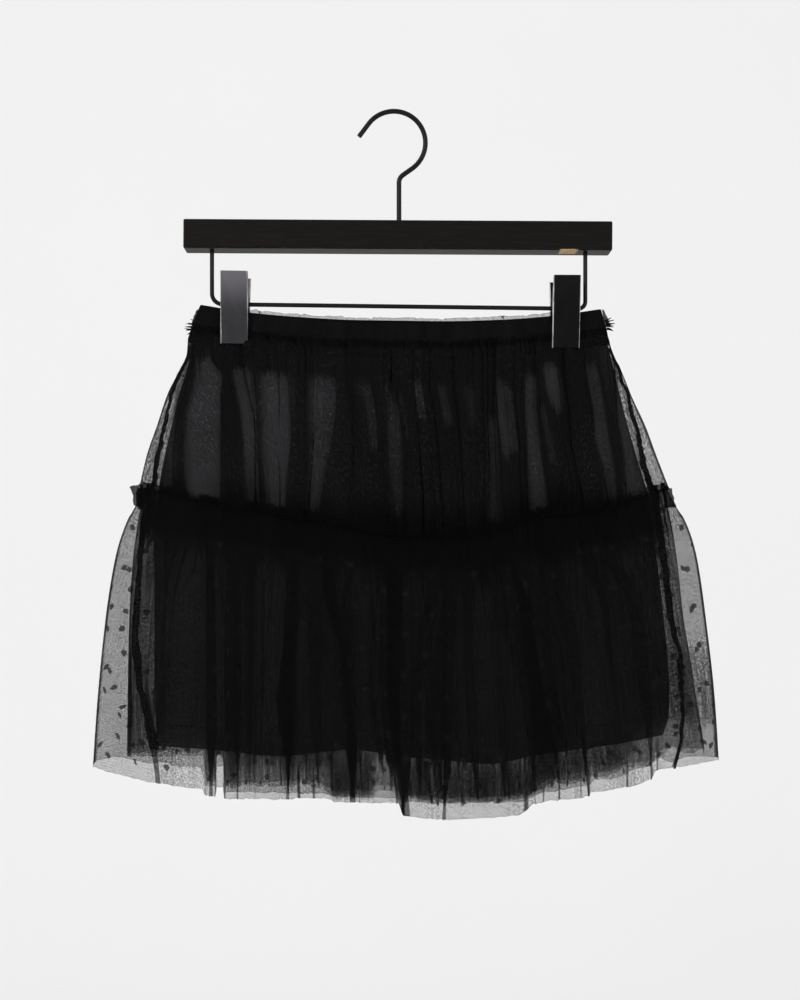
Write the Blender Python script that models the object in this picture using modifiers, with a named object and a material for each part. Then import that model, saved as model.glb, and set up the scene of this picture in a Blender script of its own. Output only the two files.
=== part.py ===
"""Layered skirt hanging from a clip hanger.

A two-tier gathered tulle skirt over an opaque lining, held at its waistband by
two sprung metal clips on the wire rail of a wooden bar hanger.
Metres, +Z up, +X to the viewer's right, the front of the skirt faces -Y.
The origin is the underside of the hook's crown, where the hanger hangs.
Sizes in the tables and constants are millimetres; MM turns them into metres.
"""
import math

import bmesh
import bpy
from mathutils import Matrix, Vector

MM = 0.001
GAP = 0.3                  # clearance between neighbouring pieces

# ---- hanger -------------------------------------------------------------
HOOK_WIRE = 3.4            # diameter of the hook's wire
HOOK_RADIUS = 22.1         # centreline radius of the crook
HOOK_TIP_ANGLE = 143.0     # where the crook ends and the straight tip begins
HOOK_TIP_LENGTH = 11.4
HOOK_LEAVE_ANGLE = -54.8   # where the crook turns into the slanted neck
STEM_X = 3.6
STEM_BEND = 6.5            # bend radius between the slanted neck and the stem

BAR_LENGTH = 298.0
BAR_DEPTH = 17.0
BAR_HEIGHT = 20.3
BAR_CENTRE_X = 2.7
BAR_TOP_Z = -76.4
BAR_TILT = 0.33            # degrees, right end lower
BAR_EDGE = 1.1
STEM_BORE_DEPTH = 12.0

RAIL_WIRE = 3.0
RAIL_LEFT_X, RAIL_LEFT_Z = -127.3, -133.3
RAIL_RIGHT_X, RAIL_RIGHT_Z = 134.0, -136.6
RAIL_BEND_LEFT, RAIL_BEND_RIGHT = 7.5, 5.0
LEG_BORE_DEPTH = 10.0

CLIP_WIDTH = 19.0
CLIP_ABOVE, CLIP_BELOW = 20.8, 28.2     # from the rail's centre
CLIP_SHEET = 1.0
CLIP_TOP_SPREAD = 13.0     # outer face from the middle plane, at the handles
CLIP_JAW = 4.35            # inner face from the middle plane, at the jaws
CLIP_TAB_RADIUS = 2.7
CLIP_HOLE_RADIUS = 2.0
FRONT_TAB_X, BACK_TAB_X = 8.95, 7.6     # outer faces of the pivot tabs
TAB_SHEET = 0.9
CLIP_LIP = (               # how deep the folded side lips are down the plate
    # fraction from the top, lip depth
    (0.00, 1.9), (0.06, 3.2), (0.28, 4.6), (0.42, 4.6), (0.52, 2.6), (0.62, 1.7), (1.00, 1.35),
)
CLIPS = (
    # name, pivot x, pivot z, turn in the plane of the bar (degrees)
    ("clip_left", -110.9, -133.5, 1.0),
    ("clip_right", 119.8, -136.42, 0.3),
)
SPRING_RADIUS, SPRING_BORE, SPRING_LENGTH, SPRING_TURNS = 2.95, 1.85, 12.0, 6

# ---- skirt: the hanging body ---------------------------------------------
# level 0 is the waist edge, 1 the waistband's lower edge, 2 the seam between
# the tiers and 3 the hem. All layers share these levels.
WAIST, BAND, SEAM, HEM = 0.0, 1.0, 2.0, 3.0
OUTER = (
    # level, left x, right x, half depth, bow between the clips
    (0.00, -135.9, 145.3, 3.40, 3.2),
    (0.50, -140.2, 148.0, 3.60, 3.4),
    (1.00, -143.7, 150.5, 3.80, 3.8),
    (1.12, -145.2, 155.0, 4.40, 4.2),
    (1.20, -149.4, 159.2, 5.40, 4.0),
    (1.38, -158.8, 166.7, 8.00, 3.2),
    (1.58, -165.8, 176.2, 11.0, 2.0),
    (1.77, -172.8, 183.5, 13.4, 1.0),
    (1.96, -177.4, 191.2, 15.5, 0.0),
    (2.02, -178.4, 193.7, 16.4, 0.0),
    (2.06, -180.6, 196.8, 18.0, 0.0),
    (2.11, -186.1, 203.1, 20.0, 0.0),
    (2.22, -193.4, 210.4, 23.5, 0.0),
    (2.32, -197.3, 214.0, 25.5, 0.0),
    (2.47, -201.5, 217.8, 28.0, 0.0),
    (2.76, -207.1, 223.9, 31.5, 0.0),
    (3.00, -210.3, 226.9, 33.5, 0.0),
)
UNDER = (                  # the plain tulle tier inside the dotted one
    (1.93, -173.7, 187.0, 12.2, 0.1),
    (2.00, -175.0, 190.0, 13.0, 0.0),
    (2.06, -177.0, 191.5, 14.2, 0.0),
    (2.15, -180.0, 195.0, 16.0, 0.0),
    (2.28, -183.0, 198.5, 18.0, 0.0),
    (2.47, -185.0, 202.4, 20.0, 0.0),
    (2.63, -185.8, 207.3, 21.2, 0.0),
    (2.76, -186.2, 210.8, 22.0, 0.0),
    (3.00, -186.6, 217.5, 23.2, 0.0),
)
LINING = (
    (1.00, -142.2, 149.0, 2.30, 3.8),
    (1.12, -142.8, 152.0, 2.90, 4.1),
    (1.20, -144.6, 154.0, 3.60, 3.9),
    (1.38, -150.4, 158.6, 5.80, 3.1),
    (1.58, -155.6, 164.0, 8.00, 1.9),
    (1.77, -160.2, 169.6, 9.30, 0.9),
    (1.96, -164.0, 175.6, 10.2, 0.0),
    (2.06, -165.4, 178.8, 10.8, 0.0),
    (2.28, -167.0, 184.6, 11.6, 0.0),
    (2.47, -167.6, 188.6, 12.4, 0.0),
    (2.63, -167.6, 191.6, 13.0, 0.0),
    (2.76, -167.2, 192.8, 13.4, 0.0),
    (2.85, -166.6, 192.0, 13.6, 0.0),
    (3.00, -165.4, 179.0, 13.8, 0.0),
)
FRONT_EDGES = (            # heights of the four level lines across the front
    # side (-1 left seam, 1 right seam), waist, band, tier seam, hem
    (-1.00, -134.6, -157.0, -262.7, -455.2),
    (-0.75, -140.6, -161.2, -272.8, -463.4),
    (-0.50, -144.9, -165.2, -281.0, -472.6),
    (-0.25, -147.9, -168.0, -288.5, -474.8),
    (0.00, -148.7, -168.8, -296.5, -484.6),
    (0.25, -148.8, -169.0, -296.9, -486.4),
    (0.50, -146.8, -166.8, -283.4, -475.4),
    (0.75, -143.0, -163.2, -277.0, -463.8),
    (1.00, -137.6, -158.8, -263.0, -451.4),
)
BACK_EDGES = (             # the back waist sags less, the back hem is shorter
    (-1.00, -134.6, -157.0, -262.7, -455.2),
    (-0.75, -139.6, -160.2, -274.0, -461.0),
    (-0.50, -142.4, -162.7, -282.5, -466.5),
    (-0.25, -144.0, -164.1, -289.0, -474.0),
    (0.00, -144.4, -164.5, -294.0, -478.5),
    (0.25, -144.9, -165.1, -293.0, -479.0),
    (0.50, -144.2, -164.2, -284.5, -470.0),
    (0.75, -142.0, -162.2, -276.0, -460.5),
    (1.00, -137.6, -158.8, -263.0, -451.4),
)
LINING_HEM = ((-1.0, 2.93), (-0.5, 2.87), (0.0, 2.81), (0.5, 2.85), (1.0, 2.91))
UNDER_HEM = ((-1.0, 2.975), (-0.5, 2.955), (0.0, 2.95), (0.5, 2.96), (1.0, 2.985))
ROUNDNESS = 2.5            # exponent of the flattened tube's section

BAND_WALL = 1.6
TULLE_WALL = 1.0
LINING_WALL = 1.0
LAYER_STEP = 1.5           # from one layer's outer skin to the next one's

# ---- folds: soft ridges that stand out of a tier --------------------------
UPPER_FRONT_FOLDS = (
    # side position, half width, height share
    (-0.86, 0.070, 0.6), (-0.70, 0.060, 1.0), (-0.56, 0.060, 0.7),
    (-0.41, 0.065, 0.9), (-0.22, 0.080, 1.0), (-0.03, 0.070, 0.6),
    (0.14, 0.080, 1.0), (0.31, 0.070, 0.8), (0.46, 0.060, 1.0),
    (0.65, 0.080, 0.9), (0.84, 0.070, 0.6),
)
UPPER_BACK_FOLDS = (
    (-0.80, 0.080, 0.8), (-0.62, 0.065, 0.9), (-0.45, 0.070, 0.6),
    (-0.27, 0.080, 1.0), (-0.08, 0.065, 0.7), (0.09, 0.070, 0.9),
    (0.28, 0.085, 1.0), (0.48, 0.065, 0.7), (0.66, 0.070, 1.0),
    (0.85, 0.065, 0.6),
)
LOWER_FRONT_FOLDS = (
    (-0.89, 0.055, 0.5), (-0.76, 0.060, 0.8), (-0.62, 0.060, 1.0),
    (-0.46, 0.070, 0.8), (-0.31, 0.060, 1.0), (-0.16, 0.060, 0.7),
    (-0.02, 0.055, 1.0), (0.13, 0.075, 0.8), (0.27, 0.055, 0.9),
    (0.41, 0.060, 1.0), (0.56, 0.060, 0.7), (0.71, 0.065, 1.0),
    (0.87, 0.060, 0.7),
)
LOWER_BACK_FOLDS = (
    (-0.85, 0.065, 0.7), (-0.70, 0.060, 1.0), (-0.54, 0.070, 0.7),
    (-0.37, 0.065, 1.0), (-0.20, 0.070, 0.8), (-0.04, 0.055, 0.9),
    (0.11, 0.070, 1.0), (0.28, 0.065, 0.7), (0.45, 0.070, 1.0),
    (0.61, 0.055, 0.8), (0.76, 0.065, 1.0), (0.90, 0.050, 0.5),
)
UPPER_FOLD_HEIGHT = ((1.0, 0.0), (1.15, 0.3), (1.5, 1.8), (1.8, 2.2), (2.0, 1.2))
LOWER_FOLD_HEIGHT = ((2.0, 0.0), (2.05, 0.0), (2.2, 1.6), (2.6, 3.6), (3.0, 4.8))
UNDER_FOLD_HEIGHT = ((2.0, 0.0), (2.1, 0.0), (2.3, 0.8), (3.0, 2.0))

# ---- finishes -------------------------------------------------------------
BLACK_LACQUER = ("lacquered_wood", (0.012, 0.010, 0.009), 0.34, 0.0)
BLACK_WIRE = ("coated_wire", (0.010, 0.010, 0.011), 0.30, 0.6)
BLACK_SHEET = ("painted_sheet", (0.022, 0.021, 0.024), 0.38, 0.4)
ELASTIC_CLOTH = ("waistband_cloth", (0.006, 0.006, 0.007), 0.85, 0.0)
PLAIN_TULLE = ("plain_tulle", (0.008, 0.008, 0.010), 0.75, 0.0)
DOTTED_TULLE = ("dotted_tulle", (0.007, 0.007, 0.009), 0.75, 0.0)
LINING_CLOTH = ("lining_cloth", (0.016, 0.016, 0.018), 0.60, 0.0)


# ---- scene setup ----------------------------------------------------------
for old in list(bpy.data.objects):
    bpy.data.objects.remove(old, do_unlink=True)

PARTS = bpy.data.collections.new("layered_skirt_on_clip_hanger")
CUTTERS = bpy.data.collections.new("cutters")
bpy.context.scene.collection.children.link(PARTS)
bpy.context.scene.collection.children.link(CUTTERS)


def finish_material(finish):
    """Returns the Principled material of a finish, made once."""
    name, colour, roughness, metallic = finish
    mat = bpy.data.materials.get(name)
    if mat is None:
        mat = bpy.data.materials.new(name)
        mat.use_nodes = True
        shader = mat.node_tree.nodes["Principled BSDF"]
        shader.inputs["Base Color"].default_value = (*colour, 1.0)
        shader.inputs["Roughness"].default_value = roughness
        shader.inputs["Metallic"].default_value = metallic
        mat.diffuse_color = (*colour, 1.0)
    return mat


def add_part(name, data, finish, parent=None, collection=PARTS):
    """Links a new object for a mesh or a curve."""
    obj = bpy.data.objects.new(name, data)
    data.name = name
    data.materials.append(finish_material(finish))
    collection.objects.link(obj)
    obj.parent = parent
    return obj


def make_cutter(obj):
    """Turns an object into a hidden tool for a Boolean modifier."""
    for coll in list(obj.users_collection):
        coll.objects.unlink(obj)
    CUTTERS.objects.link(obj)
    obj.hide_render = True
    obj.display_type = "WIRE"
    return obj


def boolean(target, tool, operation):
    mod = target.modifiers.new(f"{operation.lower()}_{tool.name}", "BOOLEAN")
    mod.operation = operation
    mod.solver = "EXACT"
    mod.object = tool


def cylinder_tool(name, radius, length, centre, along, parent=None, sides=20):
    """A closed cylinder along a unit direction, as a cutter."""
    bm = bmesh.new()
    bmesh.ops.create_cone(
        bm, cap_ends=True, segments=sides, radius1=radius * MM, radius2=radius * MM, depth=length * MM
    )
    mesh = bpy.data.meshes.new(name)
    bm.to_mesh(mesh)
    bm.free()
    obj = bpy.data.objects.new(name, mesh)
    obj.rotation_mode = "QUATERNION"
    obj.rotation_quaternion = Vector((0, 0, 1)).rotation_difference(Vector(along))
    obj.location = Vector(centre) * MM
    obj.parent = parent
    PARTS.objects.link(obj)
    return make_cutter(obj)


def smooth_value(points, at):
    """Monotone cubic through (position, value) pairs, flat outside them."""
    if at <= points[0][0]:
        return points[0][1]
    if at >= points[-1][0]:
        return points[-1][1]
    slopes = [(b[1] - a[1]) / (b[0] - a[0]) for a, b in zip(points, points[1:])]
    tangents = [slopes[0]]
    for before, after in zip(slopes, slopes[1:]):
        tangents.append(0.0 if before * after <= 0 else 2 * before * after / (before + after))
    tangents.append(slopes[-1])
    for k in range(len(slopes)):
        a, b = points[k], points[k + 1]
        if at <= b[0]:
            h = b[0] - a[0]
            s = (at - a[0]) / h
            return (
                a[1] * (1 + 2 * s) * (1 - s) ** 2
                + tangents[k] * h * s * (1 - s) ** 2
                + b[1] * s * s * (3 - 2 * s)
                + tangents[k + 1] * h * s * s * (s - 1)
            )
    return points[-1][1]


def column(table, index):
    """(first column, chosen column) pairs of a table."""
    return [(row[0], row[index]) for row in table]


# ---- wire work ------------------------------------------------------------
def arc_points(cx, cz, radius, start, end, count):
    """Points in the XZ plane from start to end degrees."""
    out = []
    for k in range(count + 1):
        a = math.radians(start + (end - start) * k / count)
        out.append((cx + radius * math.cos(a), cz + radius * math.sin(a)))
    return out


def rounded_corner(before, corner, after, radius, count):
    """Arc that rounds the corner between two straight runs."""
    b, c, a = Vector(before), Vector(corner), Vector(after)
    into, out = (c - b).normalized(), (a - c).normalized()
    turn = into.angle(out)
    reach = radius * math.tan(turn / 2)
    start = c - into * reach
    side = Vector((-into.y, into.x))
    if side.dot(out) < 0:
        side = -side
    centre = start + side * radius
    arm = start - centre
    sign = 1.0 if into.x * out.y - into.y * out.x > 0 else -1.0
    points = []
    for k in range(count + 1):
        rot = Matrix.Rotation(sign * turn * k / count, 2)
        points.append(tuple(centre + rot @ arm))
    return points


def wire(name, path, diameter, finish):
    """A round wire along points in the XZ plane."""
    curve = bpy.data.curves.new(name, "CURVE")
    curve.dimensions = "3D"
    curve.bevel_depth = diameter / 2 * MM
    curve.bevel_resolution = 2
    curve.use_fill_caps = True
    spline = curve.splines.new("POLY")
    spline.points.add(len(path) - 1)
    for point, (x, z) in zip(spline.points, path):
        point.co = (x * MM, 0.0, z * MM, 1.0)
    spline.use_smooth = True
    return add_part(name, curve, finish)


def hook_path():
    """Tip, crook, slanted neck and stem of the hook, origin under the crown."""
    cz = HOOK_WIRE / 2 - HOOK_RADIUS
    crook = arc_points(0.0, cz, HOOK_RADIUS, HOOK_TIP_ANGLE, HOOK_LEAVE_ANGLE, 22)
    a = math.radians(HOOK_TIP_ANGLE)
    tip = (
        crook[0][0] - HOOK_TIP_LENGTH * math.sin(a),
        crook[0][1] + HOOK_TIP_LENGTH * math.cos(a),
    )
    leave = math.radians(HOOK_LEAVE_ANGLE)
    slant = (math.sin(leave), -math.cos(leave))
    run = (STEM_X - crook[-1][0]) / slant[0]
    corner = (STEM_X, crook[-1][1] + slant[1] * run)
    foot = (STEM_X, BAR_TOP_Z - STEM_BORE_DEPTH + GAP)
    return [tip] + crook + rounded_corner(crook[-1], corner, foot, STEM_BEND, 6) + [foot]


def rail_path():
    """U-shaped rail: two legs that stand in the bar and the run between."""
    tilt = math.tan(math.radians(BAR_TILT))
    under = [BAR_TOP_Z - BAR_HEIGHT - (x - BAR_CENTRE_X) * tilt for x in (RAIL_LEFT_X, RAIL_RIGHT_X)]
    left_top = (RAIL_LEFT_X, under[0] + LEG_BORE_DEPTH - GAP)
    right_top = (RAIL_RIGHT_X, under[1] + LEG_BORE_DEPTH - GAP)
    left, right = (RAIL_LEFT_X, RAIL_LEFT_Z), (RAIL_RIGHT_X, RAIL_RIGHT_Z)
    return (
        [left_top]
        + rounded_corner(left_top, left, right, RAIL_BEND_LEFT, 6)
        + rounded_corner(left, right, right_top, RAIL_BEND_RIGHT, 6)
        + [right_top]
    )


# ---- bar and clips --------------------------------------------------------
def build_bar():
    """Solid wooden bar with blind holes for the hook's stem and the rail."""
    bpy.ops.mesh.primitive_cube_add(size=1.0)
    bar = bpy.context.active_object
    bar.name = bar.data.name = "hanger_bar"
    for coll in list(bar.users_collection):
        coll.objects.unlink(bar)
    PARTS.objects.link(bar)
    bar.data.transform(Matrix.Diagonal((BAR_LENGTH * MM, BAR_DEPTH * MM, BAR_HEIGHT * MM, 1.0)))
    bar.data.materials.append(finish_material(BLACK_LACQUER))
    bar.location = (BAR_CENTRE_X * MM, 0.0, (BAR_TOP_Z - BAR_HEIGHT / 2) * MM)
    bar.rotation_euler = (0.0, math.radians(BAR_TILT), 0.0)
    edge = bar.modifiers.new("worn_edges", "BEVEL")
    edge.width = BAR_EDGE * MM
    edge.segments = 3
    tilt = math.tan(math.radians(BAR_TILT))
    top = BAR_TOP_Z - (STEM_X - BAR_CENTRE_X) * tilt
    depth = STEM_BORE_DEPTH
    boolean(
        bar,
        cylinder_tool("stem_bore", HOOK_WIRE / 2 + GAP, 2 * depth, (STEM_X, 0, top), (0, 0, 1)),
        "DIFFERENCE",
    )
    for side, x in (("left", RAIL_LEFT_X), ("right", RAIL_RIGHT_X)):
        under = BAR_TOP_Z - BAR_HEIGHT - (x - BAR_CENTRE_X) * tilt
        boolean(
            bar,
            cylinder_tool(f"{side}_leg_bore", RAIL_WIRE / 2 + GAP, 2 * LEG_BORE_DEPTH, (x, 0, under), (0, 0, 1)),
            "DIFFERENCE",
        )
    return bar


def plate_mesh(name, facing):
    """Sprung clip plate: a flat face with folded side lips, open sheet."""
    height = CLIP_ABOVE + CLIP_BELOW
    bottom = CLIP_JAW + CLIP_SHEET
    half = CLIP_WIDTH / 2
    corner = 1.0
    bm = bmesh.new()
    rows = []
    for share, lip in CLIP_LIP:
        z = CLIP_ABOVE - share * height
        out = CLIP_TOP_SPREAD + (bottom - CLIP_TOP_SPREAD) * share
        section = [
            (-half, out - lip), (-half, out - corner), (-half + corner * 0.3, out - corner * 0.3),
            (-half + corner, out), (0.0, out), (half - corner, out),
            (half - corner * 0.3, out - corner * 0.3), (half, out - corner), (half, out - lip),
        ]
        rows.append([bm.verts.new((x * MM, facing * y * MM, z * MM)) for x, y in section])
    for upper, lower in zip(rows, rows[1:]):
        for k in range(len(upper) - 1):
            bm.faces.new((upper[k], upper[k + 1], lower[k + 1], lower[k]))
    bmesh.ops.recalc_face_normals(bm, faces=bm.faces)
    middle = rows[0][4].link_faces[0]
    if middle.normal.y * facing < 0:
        bmesh.ops.reverse_faces(bm, faces=bm.faces)
    mesh = bpy.data.meshes.new(name)
    bm.to_mesh(mesh)
    bm.free()
    return mesh


def pivot_tab(name, facing, outer_x, side, parent):
    """Rounded ear that carries the rail, from the plate to past the pivot."""
    reach = CLIP_TOP_SPREAD - 3.9
    bm = bmesh.new()
    r = CLIP_TAB_RADIUS
    outline = [(facing * reach, -r), (facing * reach, r)]
    outline += [
        (-facing * r * math.sin(math.pi * k / 8), r * math.cos(math.pi * k / 8)) for k in range(9)
    ]
    x0 = side * (outer_x - TAB_SHEET)
    x1 = side * outer_x
    verts = [bm.verts.new((x0 * MM, y * MM, z * MM)) for y, z in outline]
    face = bm.faces.new(verts)
    grown = bmesh.ops.extrude_face_region(bm, geom=[face])["geom"]
    moved = [v for v in grown if isinstance(v, bmesh.types.BMVert)]
    bmesh.ops.translate(bm, verts=moved, vec=((x1 - x0) * MM, 0, 0))
    bmesh.ops.recalc_face_normals(bm, faces=bm.faces)
    mesh = bpy.data.meshes.new(name)
    bm.to_mesh(mesh)
    bm.free()
    obj = bpy.data.objects.new(name, mesh)
    obj.parent = parent
    PARTS.objects.link(obj)
    return make_cutter(obj)


def build_clip(name, x, z, turn):
    """Two plates and the coil between them, turned about the rail."""
    pivot = bpy.data.objects.new(f"{name}_pivot", None)
    pivot.location = (x * MM, 0.0, z * MM)
    pivot.rotation_euler = (0.0, math.radians(turn), 0.0)
    PARTS.objects.link(pivot)
    for word, facing, tab_x in (("front", -1, FRONT_TAB_X), ("back", 1, BACK_TAB_X)):
        node = f"{name}_{word}"
        plate = add_part(node, plate_mesh(node, facing), BLACK_SHEET, pivot)
        sheet = plate.modifiers.new("sheet", "SOLIDIFY")
        sheet.thickness = CLIP_SHEET * MM
        sheet.offset = -1.0
        for side, hand in ((-1, "l"), (1, "r")):
            boolean(plate, pivot_tab(f"{node}_tab_{hand}", facing, tab_x, side, pivot), "UNION")
        hole = cylinder_tool(f"{node}_hole", CLIP_HOLE_RADIUS, CLIP_WIDTH + 8, (0, 0, 0), (1, 0, 0), pivot, 16)
        boolean(plate, hole, "DIFFERENCE")
    add_part(f"{name}_spring", spring_mesh(f"{name}_spring"), BLACK_WIRE, pivot)


def spring_mesh(name):
    """Closed coil turned as a ribbed sleeve round the rail."""
    half = SPRING_LENGTH / 2
    pitch = SPRING_LENGTH / SPRING_TURNS
    profile = [(-half, SPRING_BORE)]
    for k in range(SPRING_TURNS):
        profile.append((-half + pitch * k, SPRING_RADIUS - 0.45))
        profile.append((-half + pitch * (k + 0.5), SPRING_RADIUS))
    profile += [(half, SPRING_RADIUS - 0.45), (half, SPRING_BORE)]
    bm = bmesh.new()
    verts = [bm.verts.new((x * MM, 0.0, r * MM)) for x, r in profile]
    loop = [bm.edges.new((a, b)) for a, b in zip(verts, verts[1:] + verts[:1])]
    bmesh.ops.spin(
        bm, geom=verts + loop, cent=(0, 0, 0), axis=(1, 0, 0), angle=math.tau, steps=14, use_merge=True
    )
    bmesh.ops.remove_doubles(bm, verts=bm.verts, dist=1e-6)
    bmesh.ops.recalc_face_normals(bm, faces=bm.faces)
    mesh = bpy.data.meshes.new(name)
    bm.to_mesh(mesh)
    bm.free()
    return mesh


# ---- cloth ----------------------------------------------------------------
def side_positions(count):
    """Columns from side seam to side seam, closer together at the seams."""
    ends = (0.0, 0.003, 0.014, 0.038, 0.078)
    inner = [ends[-1] + (1 - 2 * ends[-1]) * k / count for k in range(1, count)]
    shares = list(ends) + inner + [1 - e for e in reversed(ends)]
    return [2 * s - 1 for s in shares]


def level_height(edges, side, level):
    """Height of a level line at a side position."""
    low = min(int(level), 2)
    a = smooth_value(column(edges, low + 1), side)
    b = smooth_value(column(edges, low + 2), side)
    return a + (b - a) * (level - low)


def fold_out(folds, heights, side, level):
    """How far the folds stand out, nothing at the side seams."""
    total = 0.0
    for centre, half_width, share in folds:
        q = (side - centre) / half_width
        if abs(q) < 1:
            total = max(total, share * 0.5 * (1 + math.cos(math.pi * q)))
    return total * smooth_value(heights, level) * (1 - abs(side) ** 10)


def body_point(body, edges, facing, side, level, inset, folds=(), heights=((0.0, 0.0), (1.0, 0.0))):
    """A point on the hanging body, inset millimetres inside its outer skin."""
    left = smooth_value(column(body, 1), level)
    right = smooth_value(column(body, 2), level)
    depth = smooth_value(column(body, 3), level)
    bow = smooth_value(column(body, 4), level)
    x = (left + right) / 2 + ((right - left) / 2 - inset) * side
    round_off = (1 - min(1.0, abs(side)) ** ROUNDNESS) ** (1 / ROUNDNESS)
    clip_a, clip_b = CLIPS[0][1], CLIPS[1][1]
    between = (x - clip_a) / (clip_b - clip_a)
    bulge = bow * math.sin(math.pi * between) ** 2 if 0 < between < 1 else 0.0
    out = (depth - inset) * round_off + bulge + fold_out(folds, heights, side, level)
    return Vector((x, facing * (GAP / 2 + out), level_height(edges, side, level))) * MM


def panel(name, facing, body, rows, wall, count, finish, folds=(), heights=((0.0, 0.0), (1.0, 0.0))):
    """A wall of cloth lofted through level rows.

    rows: (level or a function of the side position, inset of the outer skin).
    """
    edges = FRONT_EDGES if facing < 0 else BACK_EDGES
    sides = side_positions(count)
    bm = bmesh.new()
    skins = []
    for extra in (0.0, wall):
        grid = []
        for level, inset in rows:
            line = []
            for side in sides:
                at = level(side) if callable(level) else level
                line.append(
                    bm.verts.new(body_point(body, edges, facing, side, at, inset + extra, folds, heights))
                )
            grid.append(line)
        skins.append(grid)
    outer, inner = skins
    for grid in skins:
        for upper, lower in zip(grid, grid[1:]):
            for k in range(len(sides) - 1):
                bm.faces.new((upper[k], upper[k + 1], lower[k + 1], lower[k]))
    for k in range(len(sides) - 1):          # waist and hem rims
        for row in (0, -1):
            bm.faces.new((outer[row][k], inner[row][k], inner[row][k + 1], outer[row][k + 1]))
    for r in range(len(rows) - 1):           # rims along the side seams
        for k in (0, -1):
            bm.faces.new((outer[r][k], outer[r + 1][k], inner[r + 1][k], inner[r][k]))
    bmesh.ops.triangulate(bm, faces=bm.faces)
    bmesh.ops.recalc_face_normals(bm, faces=bm.faces)
    mesh = bpy.data.meshes.new(name)
    bm.to_mesh(mesh)
    bm.free()
    obj = add_part(name, mesh, finish)
    mesh.shade_smooth()
    mesh.set_sharp_from_angle(angle=math.radians(50))
    return obj


def blend_rows(levels, top, bottom):
    """Rows between a top level and a bottom level that may vary sideways."""
    rows = []
    for share in levels:
        rows.append(lambda side, share=share: top + (bottom(side) - top) * share)
    return rows


def build_skirt():
    band_gap = GAP / 20.0 / 1.0 / 5.0        # GAP as a share of a tier's height
    for word, facing, upper_folds, lower_folds in (
        ("front", -1, UPPER_FRONT_FOLDS, LOWER_FRONT_FOLDS),
        ("back", 1, UPPER_BACK_FOLDS, LOWER_BACK_FOLDS),
    ):
        panel(
            f"waistband_{word}", facing, OUTER,
            [(WAIST, 0.0), (0.5, 0.0), (BAND, 0.0)],
            BAND_WALL, 22, ELASTIC_CLOTH,
        )
        start = BAND + band_gap
        panel(
            f"upper_tier_{word}", facing, OUTER,
            [(start, 0.0), (1.12, 0.0), (1.3, 0.0), (1.55, 0.0), (1.78, 0.0), (SEAM, 0.0)],
            TULLE_WALL, 34, PLAIN_TULLE, upper_folds, UPPER_FOLD_HEIGHT,
        )
        panel(
            f"lower_tier_{word}", facing, OUTER,
            [(1.92, LAYER_STEP), (2.002, LAYER_STEP), (2.03, 0.0), (2.12, 0.0), (2.3, 0.0),
             (2.52, 0.0), (2.76, 0.0), (HEM, 0.0)],
            TULLE_WALL, 42, DOTTED_TULLE, lower_folds, LOWER_FOLD_HEIGHT,
        )
        under_levels = blend_rows((0.0, 0.07, 0.2, 0.45, 0.72, 1.0), 1.94, lambda s: smooth_value(UNDER_HEM, s))
        panel(
            f"under_tier_{word}", facing, UNDER, [(level, 0.0) for level in under_levels],
            TULLE_WALL, 30, PLAIN_TULLE, lower_folds, UNDER_FOLD_HEIGHT,
        )
        lining_levels = blend_rows((0.0, 0.08, 0.2, 0.4, 0.62, 0.82, 0.93, 1.0), start, lambda s: smooth_value(LINING_HEM, s))
        panel(
            f"lining_{word}", facing, LINING, [(level, 0.0) for level in lining_levels],
            LINING_WALL, 20, LINING_CLOTH,
        )


build_bar()
hook = wire("hook", hook_path(), HOOK_WIRE, BLACK_WIRE)
rail = wire("clip_rail", rail_path(), RAIL_WIRE, BLACK_WIRE)
for clip in CLIPS:
    build_clip(*clip)
build_skirt()
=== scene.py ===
"""Looks of the layered skirt on its clip hanger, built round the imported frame.

Metres in Blender; the tables are millimetres in the frame of the CAD, and MM
turns them into metres. The front faces -Y and the origin is under the hook's
crown. Each tier of net is one open sheet from side seam to side seam, gathered
in S-folds, and every sheet follows the hanging body of the CAD source.
"""
import math

import bpy
import numpy as np
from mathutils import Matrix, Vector


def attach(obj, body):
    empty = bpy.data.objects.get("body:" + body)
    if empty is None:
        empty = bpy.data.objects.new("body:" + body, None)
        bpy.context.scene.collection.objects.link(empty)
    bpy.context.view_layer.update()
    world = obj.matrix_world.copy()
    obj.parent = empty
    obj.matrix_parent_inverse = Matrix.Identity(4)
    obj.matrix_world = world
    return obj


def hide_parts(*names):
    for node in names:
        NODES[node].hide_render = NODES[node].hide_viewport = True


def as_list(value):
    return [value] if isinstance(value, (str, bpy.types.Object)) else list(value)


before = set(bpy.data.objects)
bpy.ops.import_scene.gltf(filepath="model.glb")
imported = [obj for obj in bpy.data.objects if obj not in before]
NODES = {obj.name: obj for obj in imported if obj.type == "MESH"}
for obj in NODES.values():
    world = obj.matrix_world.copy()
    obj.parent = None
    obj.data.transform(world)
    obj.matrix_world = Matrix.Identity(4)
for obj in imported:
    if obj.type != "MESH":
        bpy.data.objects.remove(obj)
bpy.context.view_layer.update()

MM = 0.001
scene = bpy.context.scene

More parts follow.
